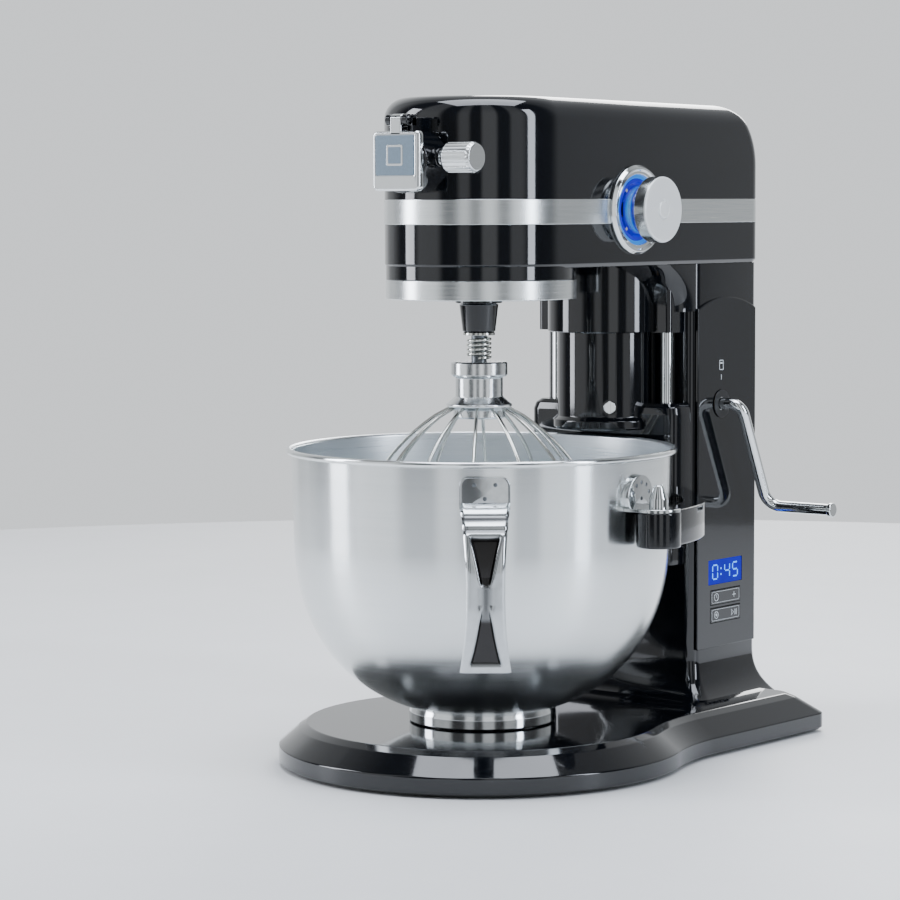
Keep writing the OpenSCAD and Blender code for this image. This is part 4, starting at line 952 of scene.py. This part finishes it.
def make_lever():
    """A steel rod that leaves the panel, bends down along it and bends out again as the handle, with a flat end
    disc. Its middle line is three straights joined by quarter bends."""
    rod_r, arm_x, bend, long = 4, 79, 11, 80
    end_x = 129
    direction = np.array([0, math.cos(math.radians(-64.8)), math.sin(math.radians(-64.8))])
    flat = rounded([(61, 0), (arm_x, 0), (arm_x, long), (end_x, long)], bend, 18, support=0.1)
    path = np.column_stack([flat[:, 0], np.outer(flat[:, 1], direction[1:]) + LEVER[1:]])
    along = np.gradient(path, axis=0)
    along /= np.linalg.norm(along, axis=1, keepdims=True)
    aside = np.cross([1, 0, 0], direction)
    sizes = np.full(len(path), rod_r, float)
    rod = tube(path, sizes, aside, 40)
    hub = towards_x(lathe(rounded([(0, -7), (6, -7), (6, 62), (5.2, 63), (0, 63)], [0, 0.2, 0.4, 0.4, 0], 4), n=64),
                    0, LEVER[1], LEVER[2])
    bezel = rounded([(4.6, 63.1), (9.6, 63.1), (9.6, 63.8), (4.6, 63.8)], 0.25, 4, True)
    piece("lever_escutcheon", "stand",
          [towards_x(lathe(bezel, n=64, ends="joined"), 0, LEVER[1], LEVER[2])], NYLON)
    piece("lever_handle", "lever", [rod, hub], CHROME, ["lever_rod"])
    disc = lathe(rounded([(0, 0), (4.9, 0), (4.9, 3), (0, 3)], 0.6, 5), n=64)
    place_at = path[-1]
    piece("lever_end", "lever", [towards_x(disc, end_x, place_at[1], place_at[2])], CHROME,
          ["lever_end_cap"])


# ---------------------------------------------------------------- bowl carriage

YOKE_Z = (147, 169.5)
PIN_X = 139.5
NOSE_TOP = span("lift_carriage", "z")[1]
BACK = COLUMN_FRONT - 1.5


def make_carriage():
    """The forked carrier: a half ring of rounded section round the bowl, a round lobe at each end, webs to the
    block that runs on the rails, and the round nose that slides up into the neck."""
    section = rounded([(131, YOKE_Z[0]), (145.5, YOKE_Z[0]), (145.5, YOKE_Z[1]), (131, YOKE_Z[1])], 1.2, 6, True)
    turn = np.radians(np.linspace(0, 180, 121))
    ring = np.stack([np.outer(np.cos(turn), section[:, 0]), np.outer(np.sin(turn), section[:, 0]),
                     np.repeat(section[None, :, 1], len(turn), 0)], -1)
    lobe = rounded([(0, YOKE_Z[0]), (14, YOKE_Z[0]), (14, YOKE_Z[1]), (0, YOKE_Z[1])], 1.2, 6)
    lobes = [lathe(lobe, (s * PIN_X, 0, 0), 72) for s in (-1, 1)]
    web = np.array([(0, 131), (35, 128), (70, 112), (96, 100), (97.5, 107), (61, 149), (57, 155), (-57, 155),
                    (-61, 149), (-97.5, 107), (-96, 100), (-70, 112), (-35, 128)], float)
    webs = slab(rounded(web, [2] * 13, 5, True), YOKE_Z[0] + 0.1, YOKE_Z[1] - 0.1, 1.2)
    steps = [(3, 134), (0, 138), (0, 219), (1.2, 223.5), (4, 226), (5.5, 226)]
    blocks = skin([at_z(plan(COLUMN_HALF - d, 133 + d, BACK, 9, 2), z)
                   for d, z in rounded(steps, [0, 1.5, 2, 2, 1, 0], 5)])
    nose_profile = rounded([(36, 208), (37, 209.2), (37, 214), (34, 216.5), (34, NOSE_TOP - 1),
                            (33, NOSE_TOP), (32, NOSE_TOP)],
                           [0, 0.8, 1, 1, 0.6, 0.5, 0], 6)
    nose = skin([at_z(cut_disc(r, NECK_Y, BACK), z) for r, z in nose_profile])
    frame_item = piece("lift_frame", "bowl_carriage", [skin(ring), *lobes, webs, blocks, nose], ENAMEL,
                       ["lift_carriage"])
    cut(frame_item, *(cylinder(s * RAIL_X, RAIL_Y, 120, 240, 6.5, 48) for s in (-1, 1)),
        screw_at(lathe([(0, 32), (5.2, 32), (5.2, 44), (0, 44)], n=48)))
    head = rounded([(0, 32), (4.2, 32), (4.2, 33.7), (0, 33.7)], [0, 0.2, 0.5, 0], 5)
    screw = piece("clutch_screw", "bowl_carriage", [screw_at(lathe(head, n=48))], CHROME,
                  ["height_screw"])
    cut(screw, screw_at(cuboid((-6, 6), (-0.8, 0.8), (32.3, 40))))
    pin = rounded([(0, 154), (4, 154), (4, YOKE_Z[1]), (6, YOKE_Z[1]), (6, 177.5), (2.8, 186), (0, 186)],
                  [0, 0.2, 0.1, 0.3, 1.2, 1.4, 0], 6)
    piece("locating_pins", "bowl_carriage", [lathe(pin, (s * PIN_X, 0, 0), 56) for s in (-1, 1)], CHROME,
          ["bowl_pins"])


def screw_at(part):
    """A surface whose own +Z is turned outwards from the neck's axis, towards the bowl's handle."""
    matrix = (Matrix.Translation((0, NECK_Y, 223.5)) @ Matrix.Rotation(math.radians(38.5 - 90), 4, "Z")
              @ Matrix.Rotation(math.pi / 2, 4, "Y"))
    return turned(part, matrix)


# ---------------------------------------------------------------- bowl

BOWL_R, BOWL_LOW, BULGE_Z, BULGE = 123.6, 28, 150, 2.3


def bowl_radius(z, wall):
    """Outside radius of the bowl: nearly straight above the bulge, and a superellipse below it."""
    side = BOWL_R - 1 - wall
    if z >= BULGE_Z:
        return side + (z - BULGE_Z) / 45
    return side * max(0, 1 - ((BULGE_Z - z) / (BULGE_Z - BOWL_LOW - wall)) ** BULGE) ** (1 / BULGE)


def bowl_curve(wall, n=60):
    """Points (radius, height) from the middle of the bottom up to the rim."""
    angles = np.radians(np.linspace(90, 0, n)) [::-1]
    heights = BULGE_Z - (BULGE_Z - BOWL_LOW - wall) * np.cos(angles[1:]) ** 0.9
    low = [(0, BOWL_LOW + wall)] + [(bowl_radius(z, wall), z) for z in heights]
    return np.array(low + [(bowl_radius(z, wall), z) for z in (170, 190, RIM_Z - 2)])


def make_bowl():
    """The bowl's outside and inside meet on its rolled rim; below is its spun foot."""
    rim_r = span("bowl", "x")[1]
    outside, inside = bowl_curve(0), bowl_curve(1.3)
    bead = arc(rim_r - 2, RIM_Z - 2, 2, -135, 90, 22)
    bead_in = arc(rim_r - 2, RIM_Z - 2, 2, 90, 205, 12)
    out = lathe(np.vstack([outside, bead]), n=192)
    back = lathe(np.vstack([bead_in, inside[::-1]]), n=192)
    piece("bowl_shell", "bowl_carriage", [out, back], [BOWL_OUT, BOWL_IN], ["bowl"], 50)
    section = [(44, BASE_TOP + 0.6), (48, BASE_TOP + 0.6), (48, 31), (46.5, 36), (44, 34)]
    foot = rounded(section, [0.8, 0.8, 2, 0.2, 0.2], 5, True)
    piece("bowl_foot_ring", "bowl_carriage", [lathe(foot, n=128, ends="joined")], PRESSED,
          ["bowl_foot"])


def pad(outline, centre, inner, outer, edge=0.6):
    """A plate wrapped on an upright cylinder: outline points (y, z) go in towards the centre in steps, and each
    point stands at x = sqrt(r^2 - y^2)."""
    steps = [(0, inner), (0, outer - edge)]
    steps += [(edge * (1 - math.cos(a)), outer - edge + edge * math.sin(a)) for a in np.radians((30, 60, 90))]
    rings = []
    for inset, r in steps:
        p = shrunk(outline, inset)
        rings.append(np.column_stack([np.sqrt(r * r - p[:, 0] ** 2), p]))
    last = shrunk(outline, edge)
    for share in (0.93, 0.7, 0.45, 0.2, 0):
        p = centre + (last - centre) * share
        rings.append(np.column_stack([np.sqrt(outer ** 2 - p[:, 0] ** 2), p]))
    vertices, faces = skin(rings, "open")
    faces.append(list(range(len(outline)))[::-1])
    return vertices, faces


def dimple(y, z, r, size):
    """A shallow pressed spot on an upright cylinder of radius r."""
    x = math.sqrt(r * r - y * y)
    part = lathe([(size, -0.4), (size, 0.02), (size * 0.8, 0.22), (size * 0.4, 0.3), (0, 0.32)], n=20)
    spin = Matrix.Rotation(math.asin(y / r), 4, "Z")
    return turned(part, Matrix.Translation((x, y, z)) @ spin @ Matrix.Rotation(math.pi / 2, 4, "Y"))


def sheet(grid, thick):
    """A thin closed sheet about a grid of points, which moves half the thickness along the normal both ways."""
    grid = np.asarray(grid, float)
    du, dv = np.gradient(grid, axis=0), np.gradient(grid, axis=1)
    normal = np.cross(du, dv)
    normal /= np.linalg.norm(normal, axis=2, keepdims=True)
    top, low = grid + normal * thick / 2, grid - normal * thick / 2
    rows = np.concatenate([top, low[:, ::-1]], axis=1)
    return skin(rows)


HANDLE_TOP, HANDLE_LONG = 178, 101


def handle_half(t):
    """Half width of the strap at the share t of the way down."""
    return 11 + 4 * np.abs(2 * t - 1) ** 2.2


def step(value, start, end):
    """0 before start, 1 after end, and straight between."""
    return np.clip((value - start) / (end - start), 0, 1)


def handle_hollow(t, s):
    """Depth of the strap's hollow at the share t down and s across: a funnel that narrows to a groove at the waist,
    and a flared scoop below it, both with sloping walls."""
    upper = step(t, 0.17, 0.2) * step(-t, -0.47, -0.42)
    lower = step(t, 0.58, 0.7) * step(-t, -0.97, -0.94)
    wide = np.where(t < 0.52, 0.85 - 0.5 * step(t, 0.17, 0.47), 0.3 + 0.5 * step(t, 0.58, 0.98))
    wall = np.clip((wide - np.abs(s)) / 0.16, 0, 1)
    groove = np.exp(-(s / 0.3) ** 2) * step(t, 0.42, 0.47) * step(-t, -0.66, -0.58)
    return (4.2 * upper + 2.6 * lower) * wall ** 2 * (3 - 2 * wall) + 1.8 * groove


def handle_fold(t):
    """Depth of the two pressed folds across the top of the strap."""
    return 1.5 * np.exp(-((t - 0.075) / 0.02) ** 2) + 1.3 * np.exp(-((t - 0.145) / 0.014) ** 2)


def make_handle():
    """The handle: a spot-welded plate on the bowl, and a pressed strap whose distance from the bowl is a function of
    the share of the way down, less its hollow and folds. The depth is kept as a point attribute, which the strap's
    finish turns into painted shade."""
    facing = Matrix.Rotation(math.radians(38.5 - 90), 4, "Z")
    plate = rounded([(-15.7, 174), (15.7, 174), (15.7, 194.5), (-15.7, 194.5)], [1, 1, 5, 5], 8, True)
    parts = [pad(plate, np.array([0, 184]), 123.3, BOWL_R + 3)]
    parts += [dimple(y, z, BOWL_R + 3, 1.3) for y, z in ((-6.5, 190), (6.5, 190), (0, 181.5))]
    t = np.linspace(0, 1, 170)[:, None]
    s = np.linspace(-1, 1, 61)[None, :]
    out = BOWL_R + 3 + 26 * (1 - (1 - np.minimum(t / 0.4, 1)) ** 2.5) - 12 * np.maximum(0, (t - 0.6) / 0.4) ** 2
    curl = 1.4 * step(np.abs(s), 0.84, 1) ** 2
    x = out - handle_hollow(t, s) - handle_fold(t) - curl
    grid = np.stack([x, s * handle_half(t), HANDLE_TOP - HANDLE_LONG * t + 0 * s], -1)
    parts.append(sheet(grid, 2.2))
    strap = piece("bowl_handle_strap", "bowl_carriage", [turned(p, facing) for p in parts],
                  [STRAP_PAINTED_SHADE, GEAR, GEAR, GEAR, STRAP_PAINTED_SHADE], ["bowl_handle"], 45)
    mesh = strap.data
    where = np.empty(len(mesh.vertices) * 3)
    mesh.vertices.foreach_get("co", where)
    local = (where.reshape(-1, 3) / MM - AXIS) @ np.array(facing.to_3x3())
    t = (HANDLE_TOP - local[:, 2]) / HANDLE_LONG
    s = local[:, 1] / handle_half(np.clip(t, 0, 1))
    # painted shade: depth of the hollows and folds, stored as the hollow attribute that darkens the strap's colour
    deep = np.where(t >= 0, (handle_hollow(t, s) + 1.6 * handle_fold(t)) / 2.4, 0)
    mesh.attributes.new("hollow", "FLOAT", "POINT").data.foreach_set("value", np.clip(deep, 0, 1).astype(np.float32))


def make_lugs():
    """Each side lug is a round tongue on the bowl, dimpled by its spot welds, over a tab that sits on the pin."""
    r, z = 13.7, 178
    lean = math.degrees(math.asin((z - YOKE_Z[1]) / r))
    outline = np.vstack([arc(0, z, r, -lean, 180 + lean, 60)])
    parts = [pad(outline, np.array([0, 179.5]), 123.2, BOWL_R + 3, 0.5)]
    spots = [(9 * math.cos(a), z + 9 * math.sin(a)) for a in np.radians((18, 54, 90, 126, 162))]
    parts += [dimple(y, h, BOWL_R + 3, 1.3) for y, h in [*spots, (0, z - 1)]]
    tab = np.vstack([[(122.5, -r)], arc(PIN_X, 0, r, -90, 90, 32), [(122.5, r)]])
    parts.append(slab(tab, YOKE_Z[1], YOKE_Z[1] + 2, 0.5))
    look = [PRESSED] + [GEAR] * (len(parts) - 2) + [PRESSED]
    piece("bowl_side_lugs", "bowl_carriage", parts + [sides_mirrored(p) for p in parts], look * 2,
          ["bowl_lugs"], 45)


# ---------------------------------------------------------------- whisk

def at_tool(part):
    """A surface moved to the whisk's axis, which stands off the bowl's axis towards the lever side of the front."""
    spin = Matrix.Rotation(math.radians(34 - 90), 4, "Z")
    return turned(part, spin @ Matrix.Translation((24, 0, 0)))


def whisk_loop(number, count=6):
    """One wire loop. At the share s down from the collar its radius swells as a power of a sine to the widest
    place and closes as a superellipse; the loops differ a little in length so that they cross at the bottom."""
    wide, top_z, top_r, widest = 0.45, 231, 18, 71
    drop = top_z - 79 - 1.15 - 1.1 * number
    t = np.linspace(0, 1, 56)
    s = 1 - (1 - t) ** 1.8 * (1 - 0.25 * t)
    upper = top_r + (widest - top_r) * np.sin(np.pi / 2 * np.minimum(s / wide, 1)) ** 0.8
    lower = widest * np.maximum(0, 1 - (np.maximum(0, s - wide) / (1 - wide)) ** 1.8) ** 0.58
    r = np.where(s < wide, upper, lower)
    side = np.column_stack([r, 0 * r, top_z - drop * s])
    path = np.vstack([side[:-1] * [-1, 1, 1], side[::-1]])
    loop = tube(path, 1.15, (0, 1, 0), 10)
    return turned(loop, Matrix.Rotation(math.pi * number / count, 4, "Z"))


def make_whisk():
    """Wires, their crimped collar, the spring behind it and the socket that the whisk hangs from."""
    piece("whisk_loops", "whisk", [at_tool(whisk_loop(k)) for k in range(6)], WIRE, ["whisk_wires"])
    collar = rounded([(5.1, 224), (16, 224), (16.6, 225), (16.6, 230), (21, 231.5), (21.2, 233), (17, 236.5),
                      (15.3, 238), (15.3, 250), (17.2, 251), (18.3, 252), (18.3, 259.4), (17.3, 260.4), (5.1, 260.4)],
                     [0.2, 0.5, 0.5, 1, 0.5, 0.8, 1.5, 1, 0.6, 0.5, 0.6, 0.5, 0.5, 0.2], 5, True)
    piece("whisk_ferrule", "whisk", [at_tool(lathe(collar, n=96, ends="joined"))], ALUMINIUM,
          ["whisk_collar"])
    a = np.linspace(0, 2 * np.pi * 4.6, 260)
    coil = tube(np.column_stack([6.9 * np.cos(a), 6.9 * np.sin(a), 262.6 + 13.2 * a / a[-1]]), 1.2,
                np.column_stack([np.cos(a), np.sin(a), 0 * a]), 12)
    washer = rounded([(5.05, 277.2), (10.3, 277.2), (10.3, 279), (5.05, 279)], 0.3, 4, True)
    piece("tool_coil", "whisk", [at_tool(coil), at_tool(lathe(washer, n=64, ends="joined"))], WIRE,
          ["tool_spring"])
    socket = rounded([(6.05, 300), (5.05, 279), (9.6, 279), (10.6, 280), (12.6, 297), (15, 298), (15, 300)],
                     [0, 0.1, 0.4, 0.5, 1, 0.4, 0.3], 5, True)
    piece("tool_socket_cup", "whisk", [at_tool(lathe(socket, n=72, ends="joined"))], ENAMEL,
          ["tool_socket"])


# ---------------------------------------------------------------- stage

def make_floor():
    """A pale round floor at the counter's height, in metres. Past its edge the equally pale surround goes on."""
    radius, sides = 1.5, 144
    rim = arc(0, 0, radius, 0, 360 - 360 / sides, sides)
    mesh = bpy.data.meshes.new("floor")
    mesh.from_pydata(at_z(rim, 0).tolist(), [], [list(range(sides))])
    def build(tree):
        speck = grain(tree, 9, 3)
        return {"Base_Color": tinted(tree, speck, "#e6e7e8", "#eeeff0")}
    mesh.materials.append(finish("pale_floor", {"Roughness": 0.55}, build))
    floor = bpy.data.objects.new("floor", mesh)
    bpy.context.scene.collection.objects.link(floor)


def softbox(name, place_at, target, width, height, watts, colour):
    """A soft rectangular light aimed at a point."""
    light = bpy.data.lights.new(name, "AREA")
    light.shape = "RECTANGLE"
    light.size, light.size_y, light.energy, light.color = width, height, watts, linear(colour)[:3]
    item = bpy.data.objects.new(name, light)
    spot = Vector(place_at)
    facing = (Vector(target) - spot).to_track_quat("-Z", "Y").to_matrix().to_4x4()
    item.matrix_world = Matrix.Translation(spot) @ facing
    bpy.context.scene.collection.objects.link(item)


def surround():
    """A studio all round: pale behind the machine, and bright and dark upright cards elsewhere, chosen by the
    direction's angle about the vertical, so that steel and gloss have something to reflect. Above, it is dim."""
    world = bpy.data.worlds.new("surround")
    bpy.context.scene.world = world
    world.use_nodes = True
    tree = world.node_tree
    tree.nodes.clear()
    split = add(tree, "SeparateXYZ", Vector=add(tree, "TexCoord").outputs["Generated"])
    turn = add(tree, "Math", {"operation": "ARCTAN2"}, _0=split.outputs["Y"], _1=split.outputs["X"])
    share = add(tree, "MapRange", {"From Min": -math.pi, "From Max": math.pi}, Value=turn.outputs["Value"])
    cards = add(tree, "ValToRGB", Fac=share.outputs["Result"])
    ramp = cards.color_ramp
    ramp.interpolation = "EASE"
    stops = [(0.0, 0.55), (0.05, 0.10), (0.11, 0.12), (0.14, 1.0), (0.20, 1.0), (0.23, 0.10), (0.27, 0.12),
             (0.29, 0.9), (0.31, 0.9), (0.325, 0.12), (0.35, 0.12), (0.365, 1.1), (0.40, 1.1), (0.415, 0.12),
             (0.445, 0.12), (0.46, 0.9), (0.49, 0.9), (0.52, 0.08), (0.60, 0.10), (0.66, 0.5), (0.74, 0.7),
             (0.79, 1.0), (0.93, 1.0), (0.96, 0.7)]
    while len(ramp.elements) < len(stops):
        ramp.elements.new(0.5)
    for element, (at, bright) in zip(ramp.elements, stops):
        element.position = at
        element.color = (bright * 0.97, bright, bright * 1.03, 1)
    rise = add(tree, "MapRange", {"From Min": 0.35, "From Max": 0.8, "To Min": 1.0, "To Max": 0.7},
               Value=split.outputs["Z"])
    shade = add(tree, "Background", Color=cards.outputs["Color"], Strength=rise.outputs["Result"])
    add(tree, "OutputWorld", Surface=shade.outputs["Background"])


def light_the_stage():
    """Large soft lights above, left and right, and one behind."""
    heart = (0, 0, 0.22)
    softbox("top_light", (0.1, -0.1, 1.9), heart, 1.5, 1.1, 44, "#eef4ff")
    softbox("left_light", (-1.5, -1.1, 0.8), heart, 0.5, 1.5, 30, "#f2f6ff")
    softbox("right_light", (1.9, 0.25, 0.9), heart, 0.35, 1.6, 24, "#eaf2ff")
    softbox("rear_light", (-0.8, 1.7, 1.1), heart, 0.9, 0.9, 22, "#ffffff")
    surround()


def aim_camera():
    """The camera stands off the front right corner, a little above the machine's middle, with a long lens."""
    turn, pitch, roll = math.radians(38.25), math.radians(4.64), math.radians(-0.18)
    away, aside, height, lens = 1976, -20.6, 361.7, 121.7
    spot = (away * math.sin(turn) + aside * math.cos(turn), aside * math.sin(turn) - away * math.cos(turn), height)
    data = bpy.data.cameras.new("front_right")
    data.lens, data.sensor_width, data.clip_start, data.clip_end = lens, 36, 0.05, 50
    camera = bpy.data.objects.new("front_right", data)
    upright = Matrix.Rotation(turn, 4, "Z") @ Matrix.Rotation(math.pi / 2 - pitch, 4, "X")
    camera.matrix_world = Matrix.Translation(place(spot)) @ upright @ Matrix.Rotation(roll, 4, "Z")
    bpy.context.scene.collection.objects.link(camera)
    bpy.context.scene.camera = camera


dress_cad_nodes()
make_base()
make_column()
make_panels()
make_head()
make_hub()
make_dial()
make_lever()
make_carriage()
make_bowl()
make_handle()
make_lugs()
make_whisk()
make_floor()
light_the_stage()
aim_camera()
